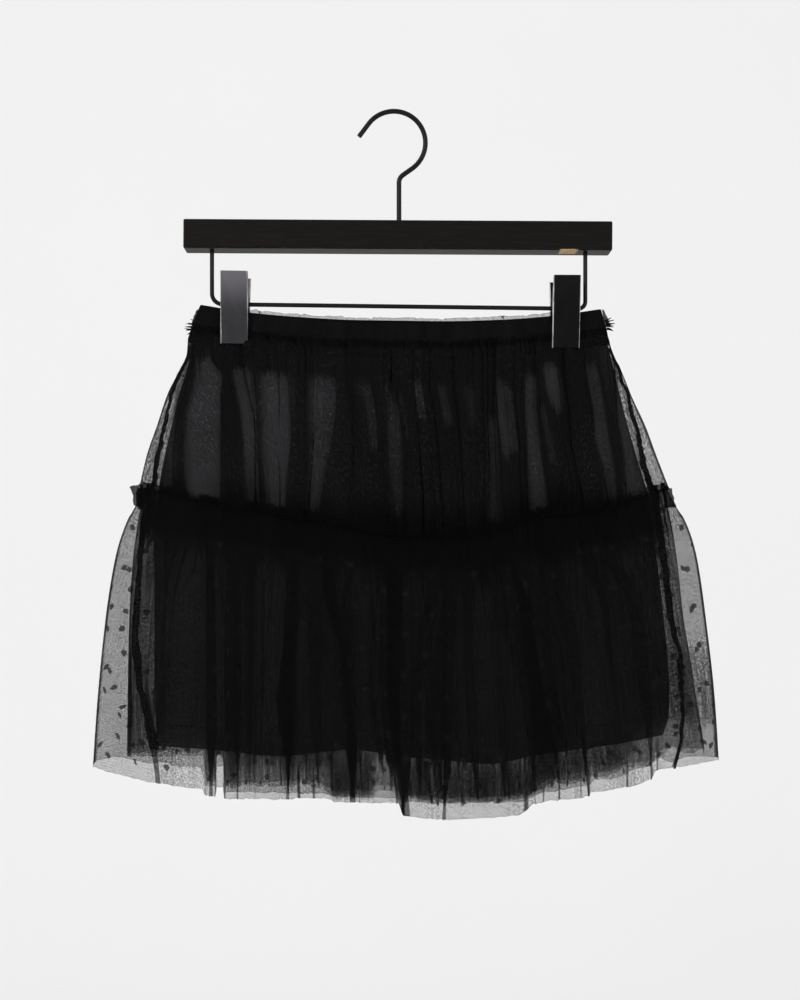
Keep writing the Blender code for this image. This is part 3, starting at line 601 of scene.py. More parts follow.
def net_material(name, dots=False, painted_fold_shade=0.0, thread=(0.0024, 0.0024, 0.0027), extra=0.0, pitch=NET_PITCH,
                 glint=(0.078, 0.078, 0.083)):
    """Fine hexagonal net: dark threads round open holes, with painted highlight specks on the threads, painted shade in
    the deep gathers, and flocked dots if asked.
    """
    s = Shade(name)
    uv = s.uv()
    wobble = s.noise(uv, 90.0, 1.0)
    k = math.tau / pitch * 2 / math.sqrt(3)
    waves = []
    for turn in (0.0, math.tau / 3, 2 * math.tau / 3):
        along = s.dot(uv, (k * math.cos(turn + 0.2), k * math.sin(turn + 0.2), 0.0))
        along = s.math("ADD", along, s.math("MULTIPLY", wobble, 3.0 * math.cos(turn * 1.7)))
        waves.append(s.math("COSINE", along))
    height = s.math("ADD", s.math("ADD", waves[0], waves[1]), waves[2])
    alpha = s.spread(height, 0.35, -1.15, NET_OPEN + extra, min(NET_THREAD + extra, 0.99))
    mottle = s.spread(s.noise(uv, 760.0, 2.0, 0.6), 0.30, 0.70, -0.10, 0.12)
    alpha = s.math("ADD", alpha, mottle, clamp=True)
    gather = s.field("gather")
    alpha = s.math("MULTIPLY", alpha, s.spread(gather, -0.5, 0.0, 0.45, 1.0, False))
    crowded = s.math("MULTIPLY", s.spread(s.noise(s.scaled(uv, (1.0, 0.8, 1.0)), 780.0, 2.0, 0.7), 0.34, 0.66, -0.24, 0.24), s.spread(gather, 0.0, 0.30, 0.15, 1.0))
    alpha = s.math("ADD", alpha, crowded, clamp=True)
    painted_shade = s.field("painted_shade")
    # painted highlight: light specks in the thread colour where the threads catch the light, in loose groups
    lit = s.spread(s.noise(s.scaled(uv, (1.0, 0.70, 1.0)), 860.0, 2.0, 0.70), 0.50, 0.72, 0.0, 1.0)
    lit = s.math("MULTIPLY", lit, s.spread(gather, 0.12, 0.62, 1.0, 0.16))
    loose = s.spread(s.noise(s.scaled(uv, (26.0, 9.0, 1.0)), 1.0, 2.0, 0.55), 0.34, 0.66, 0.30, 1.0)
    colour = s.mix(s.math("MULTIPLY", lit, loose), thread, glint)
    # painted shade: the thread colour goes near black in deep gathers near the band and the tier seam, and in the
    # tightest gathers
    colour = s.mix(s.math("MAXIMUM", painted_shade, s.spread(gather, 0.6, 1.0, 0.0, painted_fold_shade)), colour, (0.0006, 0.0006, 0.0007))
    if dots:
        u, v, _ = s.parts(uv)
        down = s.math("DIVIDE", v, 0.014)
        row = s.math("FLOOR", down)
        odd = s.math("MULTIPLY", s.math("FLOORED_MODULO", row, 2.0), 0.5)
        side = s.math("FRACT", s.math("ADD", s.math("DIVIDE", u, 0.028), odd))
        dx = s.math("MULTIPLY", s.math("SUBTRACT", side, 0.5), 28.0)
        dy = s.math("MULTIPLY", s.math("SUBTRACT", s.math("FRACT", down), 0.5), 14.0)
        far = s.math("SQRT", s.math("ADD", s.math("MULTIPLY", dx, dx), s.math("MULTIPLY", dy, dy)))
        rough = s.noise(uv, 780.0, 1.0)
        far = s.math("ADD", far, s.math("MULTIPLY", s.math("SUBTRACT", rough, 0.5), 3.0))
        dot = s.math("MULTIPLY", s.spread(far, 2.45, 1.85, 0.0, 1.0), s.spread(gather, 0.7, 0.9, 1.0, 0.0))
        alpha = s.math("MAXIMUM", alpha, s.math("MULTIPLY", dot, 0.90))
        colour = s.mix(dot, colour, (0.0052, 0.0052, 0.0060))
    # fine gathers that the sheet is too coarse for: they close the net in streaks down the cloth
    streak = s.noise(s.scaled(uv, (520.0, 9.0, 1.0)), 1.0, 2.0, 0.6)
    tight = s.math("ADD", gather, s.math("MULTIPLY", s.math("SUBTRACT", streak, 0.5), s.spread(gather, 0.02, 0.35, 0.50, 0.95)))
    tight = s.spread(tight, 0.06, 0.85, 0.0, 0.86)
    alpha = s.math("ADD", alpha, s.math("MULTIPLY", s.math("SUBTRACT", 1.0, alpha), tight))
    crease = s.spread(s.field("turn"), 0.45, 0.95, 0.0, 0.42)
    cut = s.spread(s.field("hem_mm"), 0.9, 0.2, 0.0, 0.20)
    more = s.math("MAXIMUM", crease, cut)
    alpha = s.math("ADD", alpha, s.math("MULTIPLY", s.math("SUBTRACT", 1.0, alpha), more))
    s.link(alpha, s.shader.inputs["Alpha"])
    s.base(colour, 0.7, specular=0.03)
    s.mat.blend_method = "HASHED"
    return s.mat


def lining_material():
    s = Shade("knitted_lining")
    uv = s.uv()
    u, v, _ = s.parts(uv)
    cloud = s.noise(s.scaled(uv, (9.0, 4.0, 1.0)), 4.0, 2.0)
    wale = s.math("SINE", s.math("MULTIPLY", s.math("ADD", u, s.math("MULTIPLY", s.noise(uv, 60.0, 1.0), 0.0012)), math.tau / 0.0011))
    course = s.math("SINE", s.math("MULTIPLY", v, math.tau / 0.0008))
    loops = s.math("ADD", s.math("MULTIPLY", wale, 0.6), s.math("MULTIPLY", course, 0.4))
    hem = s.field("hem_mm")
    stitch_row = s.math("SUBTRACT", 1.0, s.spread(s.math("ABSOLUTE", s.math("SUBTRACT", hem, 12.0)), 0.35, 0.8, 0.0, 1.0))
    dash = s.spread(s.math("SINE", s.math("MULTIPLY", u, math.tau / 0.0032)), -0.5, 0.1, 0.0, 1.0)
    stitch = s.math("MULTIPLY", stitch_row, dash)
    tone = s.math("ADD", s.math("MULTIPLY", loops, 0.16), s.math("MULTIPLY", cloud, 0.9))
    colour = s.mix(s.spread(tone, 0.1, 0.9, 0.0, 1.0, False), (0.033, 0.033, 0.035), (0.064, 0.063, 0.067))
    colour = s.mix(stitch, colour, (0.012, 0.012, 0.013))
    s.base(colour, 0.8, specular=0.10)
    s.bump(s.math("ADD", loops, s.math("MULTIPLY", stitch, 2.0)), 0.00012, 0.6)
    return s.mat


def band_material():
    s = Shade("elastic_casing")
    uv = s.uv()
    u, v, _ = s.parts(uv)
    rib = s.math("SINE", s.math("MULTIPLY", s.math("ADD", u, s.math("MULTIPLY", s.noise(uv, 120.0, 1.0), 0.0008)), math.tau / 0.0012))
    weft = s.math("SINE", s.math("MULTIPLY", v, math.tau / 0.0007))
    weave = s.math("ADD", s.math("MULTIPLY", rib, 0.7), s.math("MULTIPLY", weft, 0.3))
    cloud = s.noise(s.scaled(uv, (30.0, 8.0, 1.0)), 3.0, 2.0)
    colour = s.mix(s.spread(s.math("ADD", s.math("MULTIPLY", weave, 0.2), cloud), 0.2, 0.9, 0.0, 1.0, False), (0.0024, 0.0024, 0.0026), (0.0056, 0.0056, 0.006))
    s.base(colour, 0.85, specular=0.03)
    s.bump(weave, 0.0001, 0.5)
    return s.mat


def wood_material():
    """Satin black lacquer on wood: faint grain, rubbed edges and one bare chip under the right end."""
    s = Shade("lacquered_wood_bar")
    place = s.place()
    x, y, z = s.parts(place)
    grain = s.noise(s.scaled(place, (10.0, 160.0, 160.0)), 5.0, 4.0, 0.6)
    pore = s.noise(s.scaled(place, (60.0, 900.0, 900.0)), 2.0, 2.0, 0.6)
    colour = s.mix(s.spread(grain, 0.3, 0.7, 0.0, 1.0), (0.0042, 0.0036, 0.0032), (0.0074, 0.0062, 0.0054))
    lean = s.math("MULTIPLY", s.math("SUBTRACT", x, 0.0027), math.tan(math.radians(0.33)))
    up = s.math("ABSOLUTE", s.math("ADD", s.math("ADD", z, 0.08655), lean))
    near_z = s.spread(up, 0.0088, 0.0101, 0.0, 1.0)
    near_y = s.spread(s.math("ABSOLUTE", y), 0.0072, 0.0085, 0.0, 1.0)
    near_x = s.spread(s.math("ABSOLUTE", s.math("SUBTRACT", x, 0.0027)), 0.1475, 0.149, 0.0, 1.0)
    both = s.math("MAXIMUM", s.math("MULTIPLY", near_z, near_y), s.math("MULTIPLY", near_x, s.math("MAXIMUM", near_z, near_y)))
    patchy = s.spread(s.noise(s.scaled(place, (60.0, 200.0, 200.0)), 3.0, 3.0, 0.7), 0.50, 0.72, 0.0, 1.0)
    rubbed = s.math("MULTIPLY", both, patchy)
    colour = s.mix(rubbed, colour, (0.045, 0.028, 0.017))
    chip_x = s.math("SUBTRACT", 1.0, s.spread(s.math("ABSOLUTE", s.math("SUBTRACT", x, 0.1215)), 0.0050, 0.0072, 0.0, 1.0))
    chip_z = s.spread(z, -0.0965, -0.0970, 0.0, 1.0)
    chip_y = s.spread(y, 0.0050, 0.0020, 0.0, 1.0)
    chip = s.math("MULTIPLY", s.math("MULTIPLY", chip_x, chip_z), chip_y)
    chip = s.math("MULTIPLY", chip, s.spread(s.noise(place, 450.0, 2.0), 0.32, 0.44, 0.0, 1.0))
    colour = s.mix(chip, colour, (0.52, 0.34, 0.19))
    rough = s.math("ADD", s.spread(grain, 0.2, 0.8, 0.36, 0.48), s.math("MULTIPLY", chip, 0.3))
    s.base(colour, rough, specular=0.07)
    s.bump(s.math("ADD", s.math("MULTIPLY", pore, 0.6), s.math("MULTIPLY", chip, -2.0)), 0.00012, 0.45)
    return s.mat


def wire_material():
    s = Shade("coated_wire_gloss")
    place = s.place()
    speck = s.noise(place, 1500.0, 2.0, 0.6)
    worn = s.spread(s.noise(place, 260.0, 3.0, 0.6), 0.66, 0.78, 0.0, 1.0)
    colour = s.mix(worn, (0.0036, 0.0034, 0.0034), (0.012, 0.010, 0.009))
    s.base(colour, s.spread(speck, 0.2, 0.8, 0.22, 0.32), specular=0.16)
    s.bump(speck, 0.00004, 0.4)
    return s.mat


def clip_material(name, face, top, edge, centre_x, rough, specular):
    """Painted pressed sheet: a satin face, lighter towards the top by a painted reflection, with painted highlight
    lines along its folded edges.
    """
    s = Shade(name)
    place = s.place()
    x, y, z = s.parts(place)
    far = s.math("ABSOLUTE", s.math("SUBTRACT", x, centre_x))
    speck = s.noise(place, 1800.0, 2.0, 0.6)
    cloud = s.noise(s.scaled(place, (1.0, 1.0, 0.35)), 140.0, 2.0, 0.5)
    # painted highlight: light lines along the folded edges, broken into patches
    patchy_highlight = s.spread(s.noise(s.scaled(place, (1.0, 1.0, 0.25)), 420.0, 2.0, 0.6), 0.30, 0.62, 0.25, 1.0)
    line = s.math("MULTIPLY", s.spread(far, 0.0088, 0.0093, 0.0, 1.0), patchy_highlight)
    colour = s.mix(s.spread(cloud, 0.3, 0.7, 0.0, 1.0), tuple(c * 0.86 for c in face), tuple(c * 1.14 for c in face))
    # painted reflection: the upper part of the face takes the lighter top colour
    colour = s.mix(s.spread(z, -0.142, -0.112, 0.0, 1.0), colour, top)
    colour = s.mix(line, colour, edge)
    s.base(colour, s.spread(speck, 0.2, 0.8, rough - 0.05, rough + 0.05), specular=specular)
    s.bump(speck, 0.00003, 0.4)
    return s.mat


def floor_material():
    s = Shade("pale_studio_paper")
    place = s.place()
    soft = s.noise(place, 3.0, 2.0, 0.5)
    colour = s.mix(s.spread(soft, 0.3, 0.7, 0.0, 1.0), (0.498, 0.498, 0.498), (0.502, 0.502, 0.502))
    s.base(colour, 0.95, specular=0.0)
    s.shader.inputs["Emission Color"].default_value = (1.0, 1.0, 1.0, 1.0)
    s.shader.inputs["Emission Strength"].default_value = 0.385
    s.bump(s.noise(place, 900.0, 2.0), 0.0001, 0.1)
    return s.mat


NET = net_material("plain_black_net")
# the dotted net takes painted shade in its tightest gathers and fainter painted highlight specks
DOTTED = net_material("dotted_black_net", dots=True, painted_fold_shade=0.75, extra=0.05, glint=(0.030, 0.030, 0.032))
HEADING = net_material("gathered_net_edge", extra=0.26)
FRILL = net_material("raw_net_edge", extra=0.10, pitch=0.0011)
SEAM_NET = net_material("doubled_seam_net", extra=0.60)
KNIT = lining_material()
CASING = band_material()
WIRE = wire_material()


def dress(obj, material, slot, *nodes):
    """Gives a new piece its material and body, and hides the CAD nodes that it stands for. The slot argument is not
    used.
    """
    obj.data.materials.clear()
    obj.data.materials.append(material)
    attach(obj, "root")
    if nodes:
        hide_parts(*nodes)
    return obj


# ---- the net tiers ----------------------------------------------------------
LEFT_END, RIGHT_END = (lambda row: 0.0), (lambda row: 2.0)
SEAM_AT = {
    "upper_left": seam_q(OUTER, SEAM_UPPER_LEFT, False, None),
    "upper_right": seam_q(OUTER, SEAM_UPPER_RIGHT, True, None),
    "lower_left": seam_q(OUTER, SEAM_LOWER_LEFT, False, None),
    "lower_right": seam_q(OUTER, SEAM_LOWER_RIGHT, True, None),
}


# fold lines on the front: fullness between the two lines, then height, left x and right x as seen
UPPER_LINES = (
    (1.04, UPPER_THIN[0][1]), (1.06, UPPER_THIN[1][1]), (1.04, UPPER_THIN[3][1]), (1.15, UPPER_THIN[5][1]),
    (1.20, UPPER_THIN[7][1]), (1.20, UPPER_THIN[8][1]),
    (1.15, ((-189.2, 14.1, 19.3), (-213.0, 16.9, 22.8), (-270.0, 21.0, 26.0))),
    (1.15, ((-190.6, 32.0, 36.1), (-217.2, 36.9, 41.7), (-270.0, 42.0, 46.0))),
    (1.20, ((-192.0, 51.2, 56.1), (-218.6, 52.6, 58.2), (-270.0, 54.0, 60.0))),
    (1.20, UPPER_THIN[13][1]),
    (1.15, ((-189.2, 76.0, 82.0), (-236.8, 80.4, 87.0), (-280.0, 83.0, 89.0))),
    (1.12, UPPER_THIN[16][1]),
    (1.15, ((-178.0, 107.8, 114.2), (-193.4, 109.6, 116.3), (-228.4, 113.5, 119.0), (-262.0, 119.0, 125.0))),
    (1.08, UPPER_THIN[19][1]), (1.08, UPPER_THIN[20][1]),
)
LOWER_DARK = (             # the tight columns of the dotted tier: strength, then height, left x and right x
    (0.7, ((-298.4, -133.0, -124.5), (-368.4, -133.0, -124.0), (-480.0, -132.6, -123.8))),
    (0.7, ((-298.4, -119.0, -109.0), (-368.4, -119.5, -108.0), (-480.0, -119.8, -108.0))),
    (0.8, ((-291.4, -104.2, -95.8), (-368.4, -104.2, -96.5), (-480.0, -106.0, -98.0))),
    (0.9, ((-298.4, -74.8, -65.7), (-340.4, -74.1, -65.7), (-410.4, -83.2, -67.1), (-445.4, -79.7, -67.1), (-480.0, -80.0, -68.0))),
    (0.9, ((-291.4, -53.1, -41.2), (-340.4, -50.3, -37.7), (-375.4, -39.1, -30.7), (-445.4, -34.2, -23.7), (-490.0, -33.0, -24.0))),
    (1.0, ((-298.4, -11.1, 11.3), (-340.4, -6.2, 7.1), (-410.4, -6.9, 6.4), (-452.4, -1.3, 7.1), (-490.0, 5.0, 8.0))),
    (0.8, ((-312.4, 26.7, 40.7), (-340.4, 32.3, 40.7), (-375.4, 26.7, 40.7), (-410.4, 23.9, 39.3), (-452.4, 25.3, 39.3), (-495.0, 27.0, 36.0))),
    (1.0, ((-291.4, 72.9, 82.7), (-312.4, 77.8, 86.9), (-340.4, 84.8, 95.3), (-375.4, 88.3, 102.3), (-410.4, 93.9, 107.9), (-445.4, 95.3, 116.3), (-490.0, 97.0, 112.0))),
    (0.55, ((-298.4, 98.8, 112.8), (-340.4, 105.8, 119.8), (-375.4, 119.8, 124.7), (-410.4, 121.2, 128.9), (-445.4, 126.1, 131.7), (-480.0, 130.0, 136.0))),
    (0.45, ((-284.4, 142.9, 152.7), (-312.4, 147.8, 154.8), (-340.4, 165.3, 172.3), (-375.4, 166.7, 172.3), (-410.4, 172.3, 179.3), (-470.0, 176.0, 182.0))),
)
LOWER_LINES = ((1.06, ((-262.0, -164.0, -135.0), (-368.4, -165.0, -135.0), (-480.0, -164.0, -134.4))),) + tuple(
    (4.4 * strength + 1.2, track) for strength, track in LOWER_DARK)
HEM_GATHER = (             # how tightly the dotted tier hangs just above its hem, by seen x
    (-212.0, 0.0), (-168.0, 0.0), (-140.0, 0.02), (-133.0, 0.05), (-131.5, 0.34), (-126.0, 0.30), (-123.8, -0.20), (-119.6, -0.20),
    (-118.0, 0.50), (-111.0, 0.46), (-106.0, 0.10), (-99.0, 0.22), (-91.0, 0.0), (-66.0, 0.10), (-46.0, 0.06), (-43.0, 0.74), (-22.0, 0.70),
    (-15.5, 0.55), (-12.0, 0.08), (4.0, 0.06), (7.5, 0.60), (18.0, 0.70), (30.0, 0.64),
    (80.0, 0.68), (104.0, 0.68), (109.0, 0.10), (119.0, 0.16), (128.0, 0.02), (140.0, 0.0), (165.0, 0.0), (230.0, 0.0),
)


# the same thin places, with the second and third as wide as they look
UPPER_OPEN = UPPER_THIN[:1] + (
    (0.9, ((-180.8, -114.0, -100.0), (-200.4, -110.2, -96.6), (-214.4, -108.0, -95.6), (-228.4, -106.6, -95.2), (-249.4, -105.2, -95.6), (-272.5, -103.0, -96.2))),
    (1.0, ((-184.4, -93.6, -74.8), (-207.4, -92.9, -73.2), (-221.4, -93.4, -72.2), (-235.4, -92.6, -72.6), (-252.2, -90.4, -74.4), (-274.6, -88.0, -75.4))),
) + UPPER_THIN[4:]


HEM_FOLDS = (              # single dark fold lines just above the hem: seen x, half width, strength
    (-131.6, 0.6, 0.6), (-124.6, 0.8, 0.8), (-118.6, 1.0, 0.85), (-66.6, 1.2, 0.95), (-56.0, 0.7, 0.8), (-43.6, 0.6, 0.6),
    (-23.4, 0.7, 0.7), (-14.4, 0.6, 0.6), (6.4, 1.2, 0.95), (37.0, 0.6, 0.5), (92.6, 1.8, 0.95), (104.5, 0.7, 0.6),
    (116.0, 0.8, 0.85), (131.0, 0.5, 0.7), (136.4, 0.8, 0.8), (163.4, 0.9, 0.8), (184.4, 0.8, 0.75),
)


def upper_gather(seed, panel):
    def gather(own, sx, sz, front, side, share):
        apart = np.abs(side)
        top = 1.0 - float(ramp(0.16, 0.24, share)) * (0.9 + 0.1 * noise(seed + 1, own / 9.0, 0.0))
        if panel == "front":
            frayed = 1.4 * noise(seed + 9, own / 1.4, share * 2.0) + 1.1 * noise(seed + 10, own / 5.0, share * 3.0)
            open_net = thinness(UPPER_OPEN, sx + frayed, sz, 5.0, grow=1.4)
            middle = ramp(-72.0, -60.0, sx) * (1 - ramp(128.0, 134.0, sx))
            ahead = 1.0 - open_net * (1 + middle * 0.45 * (1 - open_net))
            ahead = ahead * (1 - 0.16 * ramp(0.1, 0.5, noise(seed + 5, sx / 2.6, 4.0 + share * 0.6)))
            left = np.interp(side, (-1.0, -0.945, -0.90, -0.84), (0.70, 0.70, 0.74, 1.0))
            right = np.interp(side, (0.84, 0.90, 0.96, 1.0), (1.0, 0.62, 0.60, 0.60))
            return np.maximum(np.minimum(np.minimum(ahead, left), right), top)
        behind = 0.9 * ramp(-0.25, 0.35, noise(seed, own / 46.0, 2.0)) * (1 - ramp(0.84, 0.90, apart))
        behind = np.maximum(behind, 0.34 * (1 - ramp(0.925, 0.95, apart)))
        wrap = np.where(side > 0, 0.24, 0.36) * ramp(0.90, 0.94, apart)
        wrap = wrap * (1 + 0.25 * noise(seed + 12, own / 3.0, share * 4.0))
        line = 0.85 * ramp(0.9935, 0.9975, apart)
        return np.maximum(np.maximum(np.maximum(behind, wrap), line), top * np.where(front, 0.55, 1 - ramp(0.9, 0.97, apart)))
    return gather


def upper_painted_shade(seed):
    """Painted shade: how dark the threads are painted in the gathers near the band and near the seam of the tiers."""
    def painted_shade(own, sx, share):
        ragged = 0.03 * noise(seed, own / 16.0, 1.0) + 0.02 * noise(seed + 1, own / 5.0, 1.0)
        high = (1 - ramp(0.17 + 1.5 * ragged, 0.26 + 1.5 * ragged, share)) * (0.75 + 0.25 * noise(seed + 2, own / 6.0, share * 6))
        return np.maximum(high * float(ramp(0.02, 0.08, share)), ramp(0.84 + ragged, 0.96 + ragged, share))
    return painted_shade


def lower_painted_shade(seed):
    # painted shade: the threads darken at the top of the lower tier, under the tier seam
    def painted_shade(own, sx, share):
        ragged = 0.04 * noise(seed, own / 18.0, 1.0) + 0.03 * noise(seed + 1, own / 6.0, 1.0)
        return (1 - ramp(0.10 + ragged, 0.20 + ragged, share)) * (0.8 + 0.2 * noise(seed + 2, own / 8.0, share * 5))
    return painted_shade


def lower_gather(seed, panel):
    def gather(own, sx, sz, front, side, share):
        apart = np.abs(side)
        head = 1.0 - float(ramp(0.13, 0.26, share)) * (0.85 + 0.15 * noise(seed + 7, own / 14.0, 0.0))
        if panel == "front":
            dark = thinness(LOWER_DARK, sx, sz, 3.0)
            rest = np.interp(sx, (-170.0, -70.0, -40.0), (0.24, 0.28, 0.42)) + 0.14 * noise(seed, own / 30.0, 1.0)
            rest = np.maximum(rest, np.interp(side, (0.80, 0.85, 0.93, 0.97), (0.0, 0.62, 0.55, 0.0)) * (1 - float(ramp(0.30, 0.50, share))))
            ahead = np.maximum(rest, dark) * (1 - 0.55 * ramp(0.86, 0.90, apart))
            ahead = ahead * (1 - 0.8 * thinness(LOWER_THIN[:1], sx, sz, 3.0))
            low = np.interp(sx, [p[0] for p in HEM_GATHER], [p[1] for p in HEM_GATHER])
            low = np.maximum(low, 0.55 * dark * ramp(-132.0, -118.0, sx) * (1 - ramp(118.0, 130.0, sx)))
            start = np.interp(sx, (-212.0, -140.0, -131.0, -15.0, -12.5, 4.0, 6.5, 100.0, 112.0, 160.0, 172.0, 227.0), (0.80, 0.80, 0.865, 0.865, 0.830, 0.830, 0.865, 0.865, 0.895, 0.890, 0.81, 0.79))
            start = start + 0.012 * noise(seed + 21, own / 11.0, 1.0)
            to_hem = ramp(start, start + 0.065, share)
            close = np.maximum(ahead, 0.62 * ramp(-134.0, -128.0, sx) * (1 - ramp(166.0, 172.0, sx)) * (1 - 0.7 * ramp(-14.0, -12.0, sx) * (1 - ramp(4.0, 6.0, sx))) * float(ramp(0.76, 0.84, share)))
            ahead = close * (1 - to_hem) + low * to_hem
            last = np.interp(sx, (-46.0, -43.0, -15.0, -12.0, 6.0, 9.0, 90.0, 95.0), (0.945, 0.968, 0.968, 0.945, 0.945, 0.930, 0.930, 0.950))
            ahead = ahead * (1 - 0.92 * np.where(ahead > 0, 1.0, 0.0) * ramp(last, last + 0.030, share))
            folds = np.zeros_like(sx)
            for at, wide, strength in HEM_FOLDS:
                folds = np.maximum(folds, strength * np.exp(-((sx - at - 0.5 * noise(seed + 18, share * 14, at)) / wide) ** 2))
            ahead = np.maximum(ahead, folds * float(ramp(0.84, 0.90, share)))
            torn = 0.016 * noise(seed + 15, own / 9.0, 1.0) + 0.010 * noise(seed + 16, own / 2.4, 1.0)
            head = head * ramp(-0.004 + torn, 0.062 + torn, share) * (1 - 0.4 * ramp(0.90, 0.95, apart))
            edge_open = 0.5 * (1 - ramp(0.004 + torn, 0.034 + torn, share)) * (1 - ramp(0.88, 0.94, apart))
            return np.maximum(np.maximum(ahead * ramp(0.02, 0.05, share), head), np.interp(side, (-1.0, -0.90, -0.86, 0.86, 0.90, 1.0), (0.02, 0.02, 0.0, 0.0, 0.10, 0.10))) - edge_open
        behind = 0.55 * ramp(-0.2, 0.4, noise(seed + 3, own / 52.0, 2.0)) * (1 - ramp(0.78, 0.86, apart)) * (1 - float(ramp(0.82, 0.90, share)))
        line = 0.85 * ramp(0.9960, 0.9988, apart)
        right = np.where(front, 0.26 * float(ramp(0.45, 0.65, share)) * ramp(0.85, 0.89, side) * (1 - ramp(0.965, 0.985, side)), 0.0)
        right = right * (1 - float(ramp(0.76, 0.84, share)))
        strip = np.where(side > 0, 0.34 * float(ramp(0.48, 0.66, share)) * (1 - float(ramp(0.84, 0.92, share))), 0.0) * ramp(0.86, 0.90, apart)
        right = np.maximum(right, strip * (1 + 0.2 * noise(seed + 12, own / 3.0, share * 5.0)))
        stretched = 0.05 * ramp(0.90, 0.94, apart) * float(ramp(0.35, 0.6, share)) * (side < 0)
        return np.maximum(np.maximum(np.maximum(behind, line), right), head * np.where(front, 0.30, 1 - ramp(0.92, 0.97, apart))) - stretched * (1 - ramp(0.9955, 0.998, apart))
    return gather


def under_gather(seed):
    def gather(own, sx, sz, front, side, share):
        middle = 0.16 + 0.14 * noise(seed, own / 25.0, 1.0)
        edge = np.where(side < 0, 0.45 + 0.04 * float(ramp(0.5, 0.8, share)), 0.28 + 0.10 * float(ramp(0.35, 0.7, share))) * ramp(0.78, 0.86, np.abs(side))
        edge = edge * (1 + 0.16 * noise(seed + 3, own / 3.0, share * 4.0))
        start = np.where(side < 0, float(ramp(0.50, 0.66, share)), float(ramp(0.25, 0.4, share)))
        edge = np.maximum(edge, 0.85 * ramp(0.9955, 0.9985, np.abs(side)) * start)
        low = np.interp(sx, (-190.0, -176.0, -168.0, -160.0, -135.0, -131.0, -122.0, -92.0, -24.0, -15.0, -13.0, 4.5, 8.0, 95.0, 125.0, 150.0, 170.0, 186.0, 192.0, 198.0, 215.0),
                        (0.42, 0.42, 0.34, 0.16, 0.14, 0.16, 0.26, 0.24, 0.32, 0.30, 0.14, 0.14, 0.38, 0.38, 0.34, 0.30, 0.20, 0.08, 0.06, 0.10, 0.24))
        to_hem = float(ramp(0.84, 0.92, share))
        low = np.maximum(low, 0.85 * ramp(0.993, 0.998, np.abs(side)))
        torn = 0.010 * noise(seed + 5, own / 7.0, 1.0)
        opening = 0.5 * (1 - ramp(0.002 + torn, 0.050 + torn, share)) * (1 - ramp(0.90, 0.95, np.abs(side)))
        return (np.maximum(middle, edge) * (1 - to_hem) + low * to_hem) * (1 - 0.4 * float(ramp(0.96, 0.99, share))) - opening
    return gather


def side_thin(start, end, patches, seed):
    """Single plies near the side folds of a back panel, with wide single places across the middle if asked."""
    def thin(x, z, side, front, share):
        single = ramp(start, end, np.abs(side))
        if patches:
            single = np.maximum(single, 0.9 * ramp(0.15, 0.4, noise(seed, x / 15.0, 2.0)))
        return single
    return thin


def tier_rows(top, bottom, count, inset, waves_at, start_inset=None):
    """Rows of a tier: evenly down, closer together under the gathers."""
    out = []
    for k in range(count):
        share = (k / (count - 1)) ** 1.15
        here = inset if start_inset is None else start_inset(share)
        if callable(bottom):
            level = (lambda side, share=share: top + (bottom(side) - top) * share)
        else:
            level = top + (bottom - top) * share
        out.append((share, level, here, waves_at(share)))
    return out


def upper_waves(share):
    fine = (1.0 - 0.35 * float(ramp(0.0, 0.5, share))) * (0.50 + 0.50 * float(ramp(0.02, 0.14, share)))
    broad = float(ramp(0.05, 0.45, share)) * (1 - 0.4 * float(ramp(0.85, 1.0, share)))
    return (fine, 0.9 * broad)


def lower_waves(share):
    fine = (1.0 - 0.5 * float(ramp(0.05, 0.5, share))) * (1 - 0.86 * float(ramp(0.70, 0.90, share)))
    broad = float(ramp(0.06, 0.4, share)) * (1 - 0.45 * float(ramp(0.80, 0.95, share)))
    return (fine, broad)


UPPER_WAVES = ((9.0, 1.35, 0.62, 11), (40.0, 0.8, 0.24, 12))
UPPER_FRONT_WAVES = ((9.0, 1.35, 1.05, 11), (40.0, 0.8, 0.30, 12))
LOWER_WAVES = ((12.5, 1.20, 0.40, 21), (58.0, 0.80, 0.26, 22))
UNDER_WAVES = ((13.5, 1.15, 0.34, 31), (52.0, 0.75, 0.16, 32))



def band_inset(share):
    """The gathered edge lies over the lower half of the waistband."""
    level = 0.50 + 1.50 * share
    return -0.45 * (1 - float(ramp(1.0, 1.12, level)))


def heading_inset(share):
    level = 1.95 + 1.05 * share
    return 1.5 * (1 - float(ramp(2.0, 2.03, level)))


HEM_LINE = ((-211.0, -456.0), (-208.5, -457.3), (-200.0, -460.6), (-191.0, -463.0), (-183.0, -465.0), (-166.0, -468.2),
            (-150.0, -471.0), (-134.0, -472.6), (-132.4, -477.2), (-124.8, -477.8), (-124.0, -471.0), (-119.6, -471.2), (-118.8, -479.4),
            (-90.0, -479.6), (-66.0, -479.4), (-44.3, -479.8), (-42.0, -481.6), (-15.3, -482.0), (3.2, -482.2),
            (6.4, -491.0), (18.0, -492.6), (35.0, -494.2), (52.0, -493.0), (74.3, -492.2), (88.0, -490.6), (93.6, -486.8),
            (97.0, -483.2), (110.0, -480.8), (127.0, -479.2), (136.0, -478.0), (138.4, -475.4), (152.7, -473.2),
            (165.0, -470.6), (176.0, -467.4), (180.4, -466.0), (183.0, -459.4), (195.0, -457.6), (212.0, -455.2), (227.0, -452.0))
